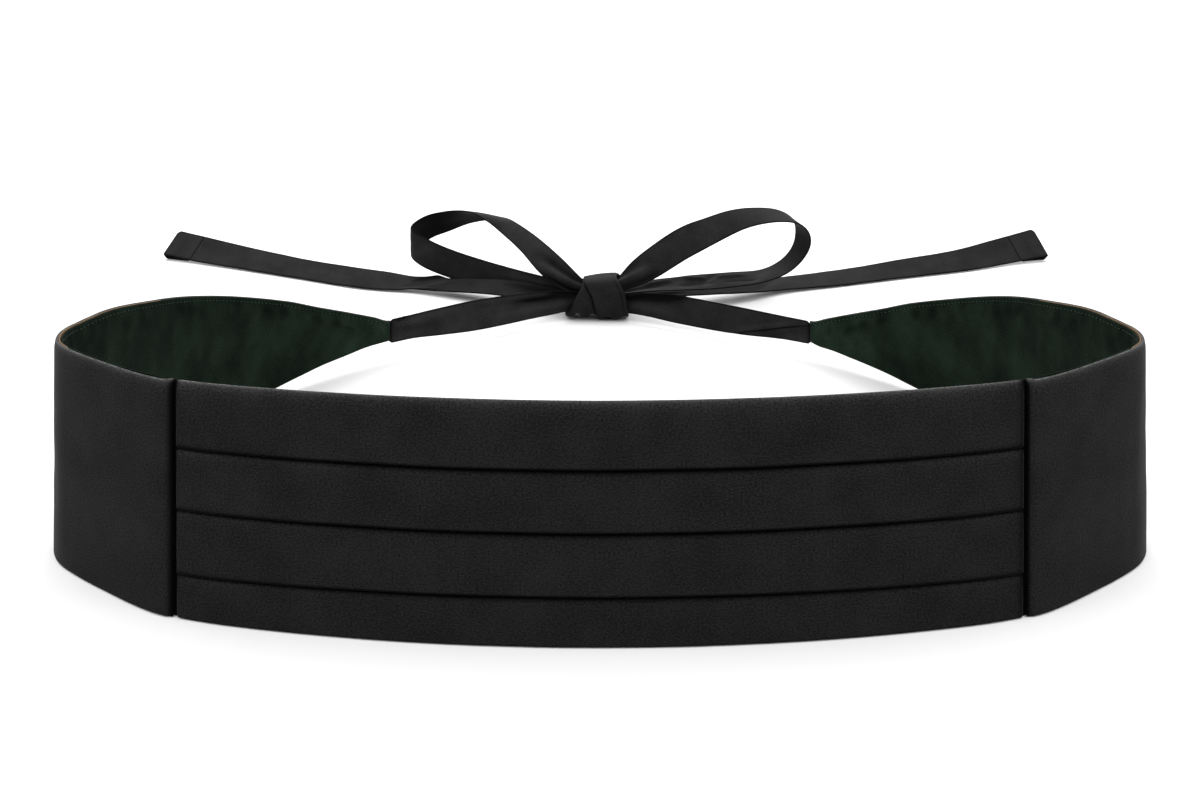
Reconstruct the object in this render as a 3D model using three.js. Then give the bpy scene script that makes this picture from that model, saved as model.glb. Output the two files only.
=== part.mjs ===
// A pleated cummerbund, tied at the back in a bow and standing open on its lower edge.
// Millimetres. The front faces -Y, +X is to the right of someone facing it, +Z is up.
// The origin is on the floor, in the middle of the whole piece's box.
import * as THREE from 'three';

// ---- Driving dimensions ----------------------------------------------------------------

const BAND_HEIGHT = 99;          // upright height of the band at the centre front
const LEAN = THREE.MathUtils.degToRad(7.9);   // the wall tips inwards as it rises
const SEAM_AT = 175.3;           // centre front to the side panel's folded edge, along the hem
const SEAM_SLANT = 2.9;          // the seam runs this much closer to the centre at the top
const UNDERLAP = 6;              // the pleats' ends run this far under the side panels
const SEWING_GAP = 0.3;          // clearance between pieces that are sewn together

const PLEAT_BACK = 1.0;          // thickness of a tier where it is tucked under the next
const PLEAT_FOLD = 2.2;          // thickness at a tier's folded lower edge
const PLEAT_TUCK = 2.5;          // how far a tier runs up under the one above it
const FOLD_ROUND = 0.7;          // rounding of a folded edge
const PANEL_THICK = 1.4;         // side panel, two layers
const PLEAT_PRESSED = 0.5;       // share of a tier's thickness left where the seam flattens it
const PRESS_LENGTH = 5;          // length in which the tiers flatten before the seam
const PANEL_OVER_PLEATS = PLEAT_FOLD * PLEAT_PRESSED + SEWING_GAP;
const PANEL_SETTLE = 40;         // length in which the panel drops from the pleats to the band
const INTERLINING_THICK = 0.6;
const LINING_THICK = 1.0;
const LINING_DROP = 0.8;         // the lining's edges stop short of the shell's
const RIBBON_THICK = 1.2;        // the ties' tube of cloth, pressed flat
const HEM_THICK = 1.0;
const HEM_GAP = 0.5;             // the turned-up end twists, so it needs a little room

// Half of the plan of the hem, from the centre front round to the tie, as tangent arcs.
const PLAN = table(['length', 'turn'], [
  [150, 12.5],    // pleated front
  [22, 5.5],      // to the seam
  [28, 14],       // side panel turns away
  [50, 10.5],
  [24, 31],       // side of the waist
  [26, 28],
  [94, 3.5],      // wing
  [75, 14],
  [104, 18],      // wing's end
]);
const BAND_END = PLAN.reduce((sum, arc) => sum + arc.length, 0);

// Lower and upper edge of the band above the floor, by the length along the hem.
const EDGES = table(['at', 'low', 'top'], [
  [0, 0, BAND_HEIGHT],
  [175, 0, 99.5],
  [270, 0, 99.8],
  [320, 0, 98.5],
  [370, 0, 90.5],
  [420, 1, 78.5],
  [490, 4.5, 56.5],
  [540, 8, 36.5],
  [BAND_END, 10.5, 23.6],
]);

// Height of each pleat's folded edge at the centre front and at the seams.
const PLEATS = table(['centre', 'seam'], [
  [21.1, 18.0],
  [47.1, 45.4],
  [72.4, 71.4],
]);

// Ribbons, each as rows from one end to the other: the middle of the ribbon, the direction
// across it, its width there and how far its middle is bowed out of flat.
// All are written for the left side; the right side's are mirrored.
const RIBBON_COLUMNS = ['x', 'y', 'z', 'ax', 'ay', 'az', 'width', 'cup'];

const TIE_LEFT = table(RIBBON_COLUMNS, [
  [-134.8, 355.5, 17, -0.10, -0.06, 1.00, 14.5, 0.0],
  [-121, 364, 16.8, -0.02, 0.05, 1.00, 16.0, 0.6],
  [-104, 375, 16.8, 0.00, 0.10, 1.00, 18.4, 0.8],
  [-84, 392, 15.2, 0.00, 0.12, 1.00, 20.0, 0.6],
  [-65, 408, 14.4, 0.00, 0.14, 0.99, 20.0, 0.6],
  [-46, 420, 14.2, 0.00, 0.14, 0.99, 18.0, 1.2],
  [-31, 427.8, 14.0, 0.00, 0.16, 0.99, 16.0, 1.8],
  [-21, 432.8, 13.4, 0.00, 0.16, 0.99, 13.6, 1.6],
  [-5, 434.4, 12.4, 0.00, 0.04, 1.00, 11.4, 1.4],
]);
const TIE_RIGHT = table(RIBBON_COLUMNS, [
  [-134.8, 355.5, 16.8, -0.10, -0.06, 1.00, 14.0, 0.0],
  [-119, 366, 15.0, -0.02, 0.05, 1.00, 15.6, 0.8],
  [-88, 389, 13.4, 0.00, 0.10, 1.00, 18.4, 1.0],
  [-54, 412, 13.4, 0.00, 0.12, 1.00, 19.8, 0.6],
  [-34, 424, 13.4, 0.00, 0.14, 0.99, 16.6, 1.4],
  [-19, 431.4, 12.2, 0.00, 0.16, 0.99, 13.4, 1.6],
  [-5, 434.4, 11.4, 0.00, 0.10, 1.00, 11.5, 1.4],
]);

const LOOP_LEFT = table(RIBBON_COLUMNS, [
  [-4, 442.2, 20.6, -0.20, -0.95, -0.16, 11.4, 1.2],
  [-15, 443.0, 22.4, -0.32, -0.89, -0.32, 13.0, 1.5],
  [-33, 452, 32.0, -0.60, -0.52, -0.60, 19.0, 1.5],
  [-50, 470, 43.9, -0.60, -0.30, -0.74, 15.6, 1.2],
  [-64.8, 494, 49.2, -0.28, -0.70, -0.66, 13.2, 0.8],
  [-76.9, 515, 51.5, -0.15, -0.93, -0.34, 11.8, 0.3],
  [-89.6, 529, 51.3, -0.10, -0.90, 0.42, 18.6, 0.0],
  [-104, 537, 48.8, -0.10, -0.73, 0.68, 20.0, 0.0],
  [-118, 540, 44.5, 0.05, -0.42, 0.90, 19.6, 0.0],
  [-132, 538, 40.2, 0.02, -0.20, 0.98, 19.8, 0.0],
  [-140.2, 527.5, 32.4, 0.03, 0.00, 1.00, 20.8, 0.0],
  [-129.8, 516, 25.4, 0.34, 0.00, 0.94, 21.4, 0.0],
  [-105, 508, 17.6, 0.34, -0.05, 0.94, 21.4, 0.0],
  [-78, 492, 14.8, 0.28, -0.12, 0.95, 19.5, 0.5],
  [-57, 475, 15.2, 0.22, -0.15, 0.96, 17.0, 0.8],
  [-38, 461, 15.5, 0.15, -0.15, 0.97, 15.0, 1.0],
  [-18, 450, 13.0, 0.08, -0.08, 1.00, 12.4, 1.0],
  [-5, 446.6, 11.6, 0.00, 0.00, 1.00, 11.5, 0.8],
]);
const LOOP_RIGHT = table(RIBBON_COLUMNS, [
  [-4, 443, 20.4, -0.22, -0.95, -0.22, 12.4, 1.2],
  [-15, 445.4, 22.4, -0.36, -0.87, -0.32, 13.8, 1.5],
  [-32, 455, 31.0, -0.65, -0.35, -0.67, 20.0, 1.5],
  [-58, 463, 47.5, -0.46, -0.20, -0.87, 22.0, 0.4],
  [-80, 470, 55.2, -0.39, -0.60, -0.68, 21.0, 0.0],
  [-97, 475, 61.0, -0.20, -0.83, -0.50, 21.5, 0.0],
  [-112, 479, 63.0, -0.05, -0.93, -0.35, 21.5, 0.0],
  [-128.5, 482, 62.6, -0.02, -0.98, -0.18, 21.5, 0.0],
  [-142, 483, 57.4, -0.15, -0.98, 0.05, 21.5, 0.0],
  [-147, 483, 46.4, -0.40, -0.90, 0.12, 21.5, 0.0],
  [-143, 483, 34.0, -0.39, -0.92, 0.06, 21.5, 0.0],
  [-133, 482, 24.0, -0.29, -0.95, -0.09, 21.5, 0.0],
  [-118, 480, 18.4, -0.12, -0.98, -0.16, 20.6, 0.0],
  [-96, 474, 17.4, 0.04, -0.96, -0.26, 20.0, 0.3],
  [-76, 468, 17.4, 0.06, -0.96, -0.28, 19.6, 0.6],
  [-56, 461, 17.9, 0.05, -0.97, -0.25, 18.0, 0.8],
  [-36, 454, 18.2, 0.03, -0.98, -0.20, 16.0, 1.0],
  [-18, 448.4, 17.0, 0.01, -0.99, -0.17, 13.0, 1.0],
  [-5, 445.6, 16.0, 0.00, -0.99, -0.10, 11.8, 0.8],
]);

const TAIL_LEFT = table(RIBBON_COLUMNS, [
  [-5, 440.3, 11.6, 0.00, 0.16, 0.99, 11.5, 0.6],
  [-17, 441.6, 12.0, 0.00, 0.34, 0.94, 12.4, 0.8],
  [-39, 452, 12.6, -0.03, 0.75, 0.66, 15.0, 0.8],
  [-71, 471, 12.0, -0.05, 0.92, 0.38, 18.0, 0.5],
  [-111, 494, 7.3, -0.08, 0.97, 0.22, 18.5, 0.3],
  [-137, 507, 4.6, -0.07, 0.97, 0.24, 19.0, 0.0],
  [-162, 512, 5.6, -0.03, 0.90, 0.44, 20.0, 0.0],
  [-187, 521, 6.0, 0.00, 0.88, 0.47, 20.0, 0.0],
  [-232, 545, 6.0, 0.01, 0.87, 0.48, 20.0, 0.0],
  [-278, 571, 7.2, 0.07, 0.88, 0.47, 22.0, 0.0],
  [-314, 588.6, 8.9, 0.34, 0.72, 0.60, 23.4, 0.0],
  [-334, 598.4, 10.1, 0.50, 0.57, 0.65, 24.0, 0.0],
  [-349.6, 606.4, 10.9, 0.62, 0.40, 0.68, 24.4, 0.0],
]);
const TAIL_RIGHT = table(RIBBON_COLUMNS, [
  [-5, 445.6, 14.2, 0.00, 0.99, 0.10, 11.8, 0.6],
  [-17, 448.2, 14.2, -0.01, 0.99, 0.14, 13.0, 0.8],
  [-45, 460, 12.4, -0.04, 0.99, 0.15, 16.0, 0.8],
  [-77, 477, 9.4, -0.07, 0.99, 0.14, 18.0, 0.5],
  [-110, 493, 6.6, -0.08, 0.98, 0.16, 18.5, 0.3],
  [-137, 508, 4.6, -0.05, 0.98, 0.20, 19.0, 0.0],
  [-176, 523, 4.2, -0.06, 0.96, 0.28, 20.0, 0.0],
  [-201, 533, 4.6, -0.06, 0.95, 0.32, 20.0, 0.0],
  [-239, 548, 5.8, -0.02, 0.88, 0.46, 20.0, 0.0],
  [-286, 566.6, 7.0, 0.08, 0.84, 0.54, 22.0, 0.0],
  [-323, 584.4, 9.5, 0.38, 0.63, 0.68, 23.2, 0.0],
  [-342, 594, 10.5, 0.56, 0.47, 0.68, 23.8, 0.0],
  [-358, 602.6, 11.2, 0.68, 0.34, 0.65, 24.2, 0.0],
]);
const HEM_ROWS = 2;              // the turned-up end covers the tail's last row intervals

// The knot: the inside of its wraps, and where each wrap crosses the top and the bottom.
const KNOT = { y: 442.8, z: 14.4, halfDepth: 15, halfHeight: 11.4, squareness: 2.6 };
const WRAP_THICK = 1.2;
const WRAPS = table(['name', 'topX', 'bottomX', 'topHalf', 'bottomHalf', 'lift'], [
  ['knot_under_wrap', -2, -12.5, 10, 12.5, 0],
  ['knot_over_wrap', 0, 9, 12.2, 11.5, WRAP_THICK + SEWING_GAP],
]);

// Length of the band's facets, by how far along the hem they reach: every layer shares them,
// so the layers' flats stay parallel.
const FACETS = table(['to', 'step'], [
  [150, 15],
  [195, 5],
  [245, 10],
  [305, 5],
  [405, 10],
  [BAND_END, 14],
]);
const RIBBON_STEPS = 3;          // facets between two rows of a ribbon
const WRAP_STEPS = 28;           // facets round the knot

const COLOURS = { shell: 0x242423, lining: 0x1b2b22, interlining: 0x9b7a4f, ties: 0x272726 };

// ---- Small helpers ---------------------------------------------------------------------

function table(columns, rows) {
  return rows.map((row) => Object.fromEntries(columns.map((column, i) => [column, row[i]])));
}

function lerp(a, b, t) {
  return a + (b - a) * t;
}

function smoothstep(from, to, value) {
  const t = THREE.MathUtils.clamp((value - from) / (to - from), 0, 1);
  return t * t * (3 - 2 * t);
}

// Monotone cubic through one column of a table: no overshoot between its rows.
function column(rows, key, at) {
  const last = rows.length - 1;
  const slope = (i) => (rows[i + 1][key] - rows[i][key]) / (rows[i + 1].at - rows[i].at);
  const tangent = (i) => {
    if (i === 0) return slope(0);
    if (i === last) return 0;
    const [before, after] = [slope(i - 1), slope(i)];
    return before * after <= 0 ? 0 : 2 / (1 / before + 1 / after);
  };
  let i = 0;
  while (i < last - 1 && at > rows[i + 1].at) i += 1;
  const span = rows[i + 1].at - rows[i].at;
  const t = THREE.MathUtils.clamp((at - rows[i].at) / span, 0, 1);
  return (2 * t ** 3 - 3 * t * t + 1) * rows[i][key] + (t ** 3 - 2 * t * t + t) * span * tangent(i)
    + (3 * t * t - 2 * t ** 3) * rows[i + 1][key] + (t ** 3 - t * t) * span * tangent(i + 1);
}

// Catmull-Rom through every column of a ribbon's rows, at a row number with a fraction.
function ribbonRow(rows, at) {
  const i = Math.min(Math.floor(at), rows.length - 2);
  const t = at - i;
  const pick = (k) => rows[THREE.MathUtils.clamp(k, 0, rows.length - 1)];
  const [p, q, r, s] = [pick(i - 1), pick(i), pick(i + 1), pick(i + 2)];
  return Object.fromEntries(RIBBON_COLUMNS.map((key) => [key, 0.5 * (2 * q[key]
    + (r[key] - p[key]) * t
    + (2 * p[key] - 5 * q[key] + 4 * r[key] - s[key]) * t * t
    + (3 * q[key] - p[key] - 3 * r[key] + s[key]) * t ** 3)]));
}

const group = new THREE.Group();

// One closed skin over rings of equally many points. Open rings get flat ends, cut from the
// section in its own two coordinates; a closed run of rings needs none.
function loft(name, colour, rings, { closed = false, section = null } = {}) {
  const count = rings[0].length;
  const positions = rings.flat().flatMap((point) => point.toArray());
  const faces = [];
  const spans = closed ? rings.length : rings.length - 1;
  for (let i = 0; i < spans; i += 1) {
    const next = (i + 1) % rings.length;
    for (let j = 0; j < count; j += 1) {
      const k = (j + 1) % count;
      const [a, b, c, d] = [i * count + j, i * count + k, next * count + k, next * count + j];
      faces.push([a, b, c], [a, c, d]);
    }
  }
  if (!closed) {
    const cap = THREE.ShapeUtils.triangulateShape(section, []);
    const cross = section.reduce((sum, p, i) => sum + p.cross(section[(i + 1) % count]), 0);
    const last = (rings.length - 1) * count;
    for (const [a, b, c] of cap) {
      const [p, q, r] = cross > 0 ? [a, b, c] : [a, c, b];
      const turn = cross > 0 ? 1 : -1;
      faces.push(turn > 0 ? [p, r, q] : [p, q, r]);
      faces.push(turn > 0 ? [last + p, last + q, last + r] : [last + p, last + r, last + q]);
    }
  }
  addMesh(name, colour, positions, faces);
}

// Puts a closed mesh in the group, with its faces turned outwards.
function addMesh(name, colour, positions, faces) {
  const corner = (i) => new THREE.Vector3().fromArray(positions, i * 3);
  const volume = faces.reduce((sum, [a, b, c]) => sum
    + corner(a).dot(corner(b).cross(corner(c))), 0);
  const geometry = new THREE.BufferGeometry();
  geometry.setAttribute('position', new THREE.Float32BufferAttribute(positions, 3));
  geometry.setIndex(faces.flatMap(([a, b, c]) => (volume > 0 ? [a, b, c] : [a, c, b])));
  geometry.computeVertexNormals();
  const material = new THREE.MeshStandardMaterial({ color: colour, roughness: 0.9, metalness: 0 });
  const mesh = new THREE.Mesh(geometry, material);
  mesh.name = name;
  group.add(mesh);
}

// ---- The band --------------------------------------------------------------------------

// Where the hem is at a length from the centre front, and which way is outwards there.
// A negative length is on the left.
function plan(length) {
  const side = Math.sign(length) || 1;
  let [x, y, heading, rest] = [0, PLEAT_FOLD, 0, Math.abs(length)];
  for (const [i, arc] of PLAN.entries()) {
    const curvature = THREE.MathUtils.degToRad(arc.turn) / arc.length;
    const run = i === PLAN.length - 1 ? rest : Math.min(rest, arc.length);
    const end = heading + curvature * run;
    x += (Math.sin(end) - Math.sin(heading)) / curvature;
    y += (Math.cos(heading) - Math.cos(end)) / curvature;
    heading = end;
    rest -= run;
    if (rest <= 0) break;
  }
  return { x: side * x, y, outX: side * Math.sin(heading), outY: -Math.cos(heading) };
}

// A point on the leaning wall: along the hem, up from the floor, and outwards from the
// shell's inner face.
function wallPoint(length, height, out) {
  const hem = plan(length);
  const offset = out - height * Math.tan(LEAN);
  return new THREE.Vector3(hem.x + hem.outX * offset, hem.y + hem.outY * offset, height);
}

// The seams lean towards the centre front, and the rest of the wall less and less.
function slanted(length, height) {
  const fade = 1 - smoothstep(SEAM_AT, SEAM_AT + 60, Math.abs(length));
  const share = Math.min(Math.abs(length) / SEAM_AT, 1);
  return length - Math.sign(length) * SEAM_SLANT * (height / BAND_HEIGHT) * share * fade;
}

// Section of the pleated front as [height, out]: flat hem, then each tier's face rises to the
// slot behind the fold of the tier above it.
function pleatSection(length) {
  const across = (Math.abs(length) / SEAM_AT) ** 2;
  const top = column(EDGES, 'top', Math.abs(length));
  const pressed = smoothstep(SEAM_AT - PRESS_LENGTH, SEAM_AT, Math.abs(length));
  const outline = [[0, 0], [0, PLEAT_FOLD - 0.5], [FOLD_ROUND, PLEAT_FOLD]];
  for (const pleat of PLEATS) {
    const fold = lerp(pleat.centre, pleat.seam, across);
    outline.push([fold + PLEAT_TUCK, PLEAT_BACK]);
    outline.push([fold + PLEAT_TUCK, PLEAT_BACK + 0.35]);
    outline.push([fold + 0.25, PLEAT_BACK + 0.45]);
    outline.push([fold, PLEAT_BACK + 0.85]);
    outline.push([fold + FOLD_ROUND, PLEAT_FOLD]);
  }
  outline.push([top - FOLD_ROUND, PLEAT_BACK + 0.3], [top, PLEAT_BACK - 0.2], [top, 0]);
  return outline.map(([height, out]) => [height, out * lerp(1, PLEAT_PRESSED, pressed)]);
}

// The shared stations between two lengths, with those two as the ends.
function stationsBetween(from, to) {
  const stations = [from];
  let at = 0;
  for (const facet of FACETS) {
    while (at < facet.to) {
      at = Math.min(at + facet.step, facet.to);
      if (at > from + 1 && at < to - 1) stations.push(at);
    }
  }
  return stations.concat(to);
}

function pleatedFront() {
  const half = stationsBetween(0, SEAM_AT + UNDERLAP);
  const lengths = half.slice(1).reverse().map((at) => -at).concat(half);
  const rings = lengths.map((length) => pleatSection(length).map(([height, out]) => (
    wallPoint(slanted(length, height), height, out))));
  const end = SEAM_AT + UNDERLAP;
  const section = pleatSection(end).map(([height, out]) => new THREE.Vector2(out, height));
  loft('pleated_front', COLOURS.shell, rings, { section });
}

// A wall with square edges between two heights and two outward offsets at each station.
function wall(name, colour, stations) {
  const rings = stations.map(({ at, low, top, inner, outer }) => (
    [[low, inner], [low, outer], [top, outer], [top, inner]].map(([height, out]) => (
      wallPoint(slanted(at, height), height, out)))));
  const section = [[0, 0], [1, 0], [1, 1], [0, 1]].map(([x, y]) => new THREE.Vector2(x, y));
  loft(name, colour, rings, { section });
}

function edgesAt(at) {
  return { low: column(EDGES, 'low', at), top: column(EDGES, 'top', at) };
}

// Side panel and wing in one: its folded front edge lies over the pleats' ends.
function sidePanel(name, side) {
  const settleFrom = SEAM_AT + UNDERLAP + 1.5;
  const edge = [SEAM_AT, SEAM_AT + FOLD_ROUND];
  const lengths = edge.concat(stationsBetween(SEAM_AT + 3, BAND_END));
  const stations = lengths.map((at) => {
    const drop = smoothstep(settleFrom, settleFrom + PANEL_SETTLE, at);
    const inner = lerp(PANEL_OVER_PLEATS, 0, drop);
    const tucked = at === SEAM_AT ? 0.45 : 0;      // the fold's rounded edge
    return { at: side * at, ...edgesAt(at), inner: inner + tucked,
      outer: inner + PANEL_THICK - tucked };
  });
  wall(name, COLOURS.shell, stations);
}

// The stiffening shows as a thin edge between shell and lining round the side of the waist.
const INTERLINING_FROM = 195;
const INTERLINING_TO = 375;

function interlining(name, side) {
  const stations = stationsBetween(INTERLINING_FROM, INTERLINING_TO).map((at) => {
    const { low, top } = edgesAt(at);
    return { at: side * at, low: low + LINING_DROP, top: top - 0.2,
      inner: -SEWING_GAP - INTERLINING_THICK, outer: -SEWING_GAP };
  });
  wall(name, COLOURS.interlining, stations);
}

// How far the lining lies inside the shell's inner face: further round the stiffening.
function liningInset(at) {
  const room = INTERLINING_THICK + SEWING_GAP;
  const rise = smoothstep(INTERLINING_FROM - 14, INTERLINING_FROM - 2, at);
  const fall = smoothstep(INTERLINING_TO + 2, INTERLINING_TO + 14, at);
  return SEWING_GAP + room * rise * (1 - fall);
}

function lining(name, lengths) {
  const stations = lengths.map((at) => {
    const { low, top } = edgesAt(Math.abs(at));
    const inset = liningInset(Math.abs(at));
    return { at, low: low + LINING_DROP, top: top - LINING_DROP,
      inner: -inset - LINING_THICK, outer: -inset };
  });
  wall(name, COLOURS.lining, stations);
}

// ---- Ties, knot and bow ----------------------------------------------------------------

// A flat strip of cloth along its rows, lifted off its own middle by raise.
function ribbon(name, rows, side, { thick = RIBBON_THICK, raise = 0, from = 0 } = {}) {
  const steps = (rows.length - 1 - from) * RIBBON_STEPS;
  const rings = Array.from({ length: steps + 1 }, (_, i) => {
    const at = from + i / RIBBON_STEPS;
    const row = ribbonRow(rows, at);
    const ahead = ribbonRow(rows, Math.min(at + 0.05, rows.length - 1));
    const behind = ribbonRow(rows, Math.max(at - 0.05, 0));
    const along = new THREE.Vector3(ahead.x - behind.x, ahead.y - behind.y, ahead.z - behind.z);
    along.normalize();
    const across = new THREE.Vector3(row.ax, row.ay, row.az);
    across.addScaledVector(along, -across.dot(along)).normalize();
    const face = new THREE.Vector3().crossVectors(along, across);
    const place = (u, level) => new THREE.Vector3(row.x, row.y, row.z)
      .addScaledVector(across, u * row.width)
      .addScaledVector(face, level + raise + row.cup * (1 - 4 * u * u));
    const half = thick / 2;
    return [place(-0.5, -half), place(0, -half), place(0.5, -half),
      place(0.5, half), place(0, half), place(-0.5, half)]
      .map((point) => new THREE.Vector3(side < 0 ? point.x : -point.x, point.y, point.z));
  });
  const section = [[-1, 0], [0, 0], [1, 0], [1, 1], [0, 1], [-1, 1]]
    .map(([x, y]) => new THREE.Vector2(x, y));
  loft(name, COLOURS.ties, rings, { section });
}

// One wrap of the knot: a band round the ties, crossing from its top place to its bottom one.
function wrap({ name, topX, bottomX, topHalf, bottomHalf, lift }) {
  const power = 2 / KNOT.squareness;
  const rings = Array.from({ length: WRAP_STEPS }, (_, i) => {
    const angle = (i / WRAP_STEPS) * 2 * Math.PI;
    const [c, s] = [Math.cos(angle), Math.sin(angle)];
    const middle = lerp(topX, bottomX, (1 - s) / 2);
    const half = lerp(topHalf, bottomHalf, (1 - s) / 2);
    const place = (u, out) => new THREE.Vector3(
      middle + u * half,
      KNOT.y + (KNOT.halfDepth + out) * Math.sign(c) * Math.abs(c) ** power,
      KNOT.z + (KNOT.halfHeight + out) * Math.sign(s) * Math.abs(s) ** power,
    );
    return [place(-1, lift), place(1, lift), place(1, lift + WRAP_THICK),
      place(-1, lift + WRAP_THICK)];
  });
  loft(name, COLOURS.ties, rings, { closed: true });
}

// ---- Assembly --------------------------------------------------------------------------

const SIDES = [['left', -1], ['right', 1]];
const LINING_SEAM = 155;         // the lining's own seams stand clear of the shell's

pleatedFront();
const half = stationsBetween(0, LINING_SEAM - SEWING_GAP / 2);
lining('lining_front', half.slice(1).reverse().map((at) => -at).concat(half));
for (const [word, side] of SIDES) {
  sidePanel(`side_panel_${word}`, side);
  interlining(`interlining_${word}`, side);
  const lengths = stationsBetween(LINING_SEAM + SEWING_GAP / 2, BAND_END);
  lining(`lining_${word}`, lengths.map((at) => side * at));
}
ribbon('tie_left', TIE_LEFT, -1);
ribbon('tie_right', TIE_RIGHT, 1);
ribbon('bow_loop_left', LOOP_LEFT, -1);
ribbon('bow_loop_right', LOOP_RIGHT, 1);
for (const [word, side, rows] of [['left', -1, TAIL_LEFT], ['right', 1, TAIL_RIGHT]]) {
  ribbon(`tail_${word}`, rows, side);
  const raise = RIBBON_THICK / 2 + HEM_GAP + HEM_THICK / 2;
  ribbon(`tail_hem_${word}`, rows, side, { thick: HEM_THICK, raise, from: rows.length - 1 - HEM_ROWS });
}
WRAPS.forEach(wrap);

const box = new THREE.Box3().setFromObject(group);
const middle = box.getCenter(new THREE.Vector3());
group.position.set(-middle.x, -middle.y, -box.min.z);

export default group;
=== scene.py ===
"""A pleated cummerbund, tied at the back in a bow and standing open on its lower edge.

Tables are in millimetres, measured from the middle of the pleated front's hem, with the
front facing -Y. place() turns them into the frame's metres.
"""
import math

import bpy
import numpy as np
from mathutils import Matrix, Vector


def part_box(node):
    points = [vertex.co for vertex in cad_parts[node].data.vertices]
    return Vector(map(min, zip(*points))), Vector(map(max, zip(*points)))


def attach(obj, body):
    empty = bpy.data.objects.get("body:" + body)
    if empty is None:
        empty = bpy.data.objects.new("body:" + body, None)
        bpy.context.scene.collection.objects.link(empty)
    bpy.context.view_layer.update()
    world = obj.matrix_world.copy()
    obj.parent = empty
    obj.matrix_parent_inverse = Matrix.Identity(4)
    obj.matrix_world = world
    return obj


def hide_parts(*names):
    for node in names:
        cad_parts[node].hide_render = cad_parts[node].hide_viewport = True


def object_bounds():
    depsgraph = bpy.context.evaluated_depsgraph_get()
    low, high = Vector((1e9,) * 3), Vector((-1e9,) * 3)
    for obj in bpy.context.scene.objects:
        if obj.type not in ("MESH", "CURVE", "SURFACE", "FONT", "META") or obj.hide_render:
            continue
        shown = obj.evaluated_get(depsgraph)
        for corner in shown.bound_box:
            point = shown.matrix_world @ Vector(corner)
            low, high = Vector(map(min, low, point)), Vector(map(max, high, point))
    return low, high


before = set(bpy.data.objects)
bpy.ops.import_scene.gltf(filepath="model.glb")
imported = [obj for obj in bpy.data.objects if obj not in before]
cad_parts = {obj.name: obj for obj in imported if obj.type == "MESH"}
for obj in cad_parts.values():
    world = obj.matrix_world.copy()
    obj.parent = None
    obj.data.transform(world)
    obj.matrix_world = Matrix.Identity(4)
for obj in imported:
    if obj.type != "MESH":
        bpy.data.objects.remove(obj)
cad_low, cad_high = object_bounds()

# ---- The band's sizes: the solids', less what the cloth's rounding takes off ----

LEAN = math.radians(7.9)  # the wall tips inwards as it rises
BAND_HEIGHT = 99
SEAM_AT = 177.8  # centre front to the side panel's folded edge, along the hem
SEAM_SLANT = 2.9
PLEAT_FOLD = 2.2  # how far a tier's folded edge stands out from the band's inner face
FOLD_ROUND = 0.7
PANEL_OVER_PLEATS = 1.4
PANEL_SETTLE = 40  # length in which the panel drops from the pleats to the band
PLAN = np.array([  # tangent arcs of the hem from the centre front: length, turn in degrees
    [150, 12.5], [22, 5.5], [28, 14], [50, 10.5], [24, 31], [26, 28], [94, 3.5], [75, 14],
    [104, 18],
])
BAND_END = PLAN[:, 0].sum()
EDGES = np.array([  # length along the hem, lower edge, top edge
    [0, 0, 99], [175, 0, 99.5], [270, 0, 99.8], [320, 0, 98.5], [370, 0, 90.5],
    [420, 0.9, 78.8], [490, 5.1, 57.2], [515, 7.4, 47.3], [540, 9.3, 37.8], [560, 10.8, 30],
    [BAND_END, 10.8, 24.9],
])
RIGHT_SAG = [0, 2.6, 1.0]  # how much lower the right wing hangs, by column of EDGES
SAG_FROM, SAG_FULL, SAG_EASES, SAG_TO = 400, 470, 562, 578  # where, along the hem
PLEATS = np.array([[21.1, 18.9], [47.1, 46.4], [72.4, 72.3]])  # fold height: centre, seam
INTERLINING_FROM, INTERLINING_TO, INTERLINING_OUT = 195, 375, -0.6
LINING_SEAM = 155
HALF_GAP = 0.15  # half of what is left between pieces that are sewn together
SIDES = (("left", -1), ("right", 1))

# Ribbons: middle x, y, z, direction across, width, how far the middle bows out of flat.
# Written for the left side; the right side's are mirrored.
TIE_LEFT = np.array([
    [-137.2, 349.4, 17.6, 0.09, -0.1, 1, 16.8, 0],
    [-131, 355, 17.3, 0.06, -0.05, 1, 16.4, 0.3],
    [-121, 364, 17.1, -0.02, 0.05, 1, 15.9, 0.9],
    [-104, 375, 17, 0, 0.1, 1, 18.4, 0.9],
    [-84, 392, 15.6, 0, 0.12, 1, 20.6, 0.6],
    [-65, 408, 14.4, 0, 0.14, 0.99, 20, 0.6],
    [-46, 420, 14.2, 0, 0.14, 0.99, 18, 1.2],
    [-31, 427.8, 14, 0, 0.16, 0.99, 16, 1.8],
    [-21, 432.8, 13.4, 0, 0.16, 0.99, 13.6, 1.6],
    [-5, 434.4, 12.4, 0, 0.04, 1, 11.4, 1.4],
])
TIE_RIGHT = np.array([
    [-137.2, 349.4, 16.9, 0.09, -0.1, 1, 16, 0],
    [-131, 355, 16.4, 0.06, -0.05, 1, 15.8, 0.2],
    [-119, 366, 15.5, -0.02, 0.05, 1, 15.5, 0.5],
    [-88, 389, 13.8, 0, 0.1, 1, 18.8, 0.8],
    [-54, 412, 13.6, 0, 0.12, 1, 19.4, 0.6],
    [-34, 424, 13.4, 0, 0.14, 0.99, 16.6, 1.4],
    [-19, 431.4, 12.2, 0, 0.16, 0.99, 13.4, 1.6],
    [-5, 434.4, 11.4, 0, 0.1, 1, 11.5, 1.4],
])
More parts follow.
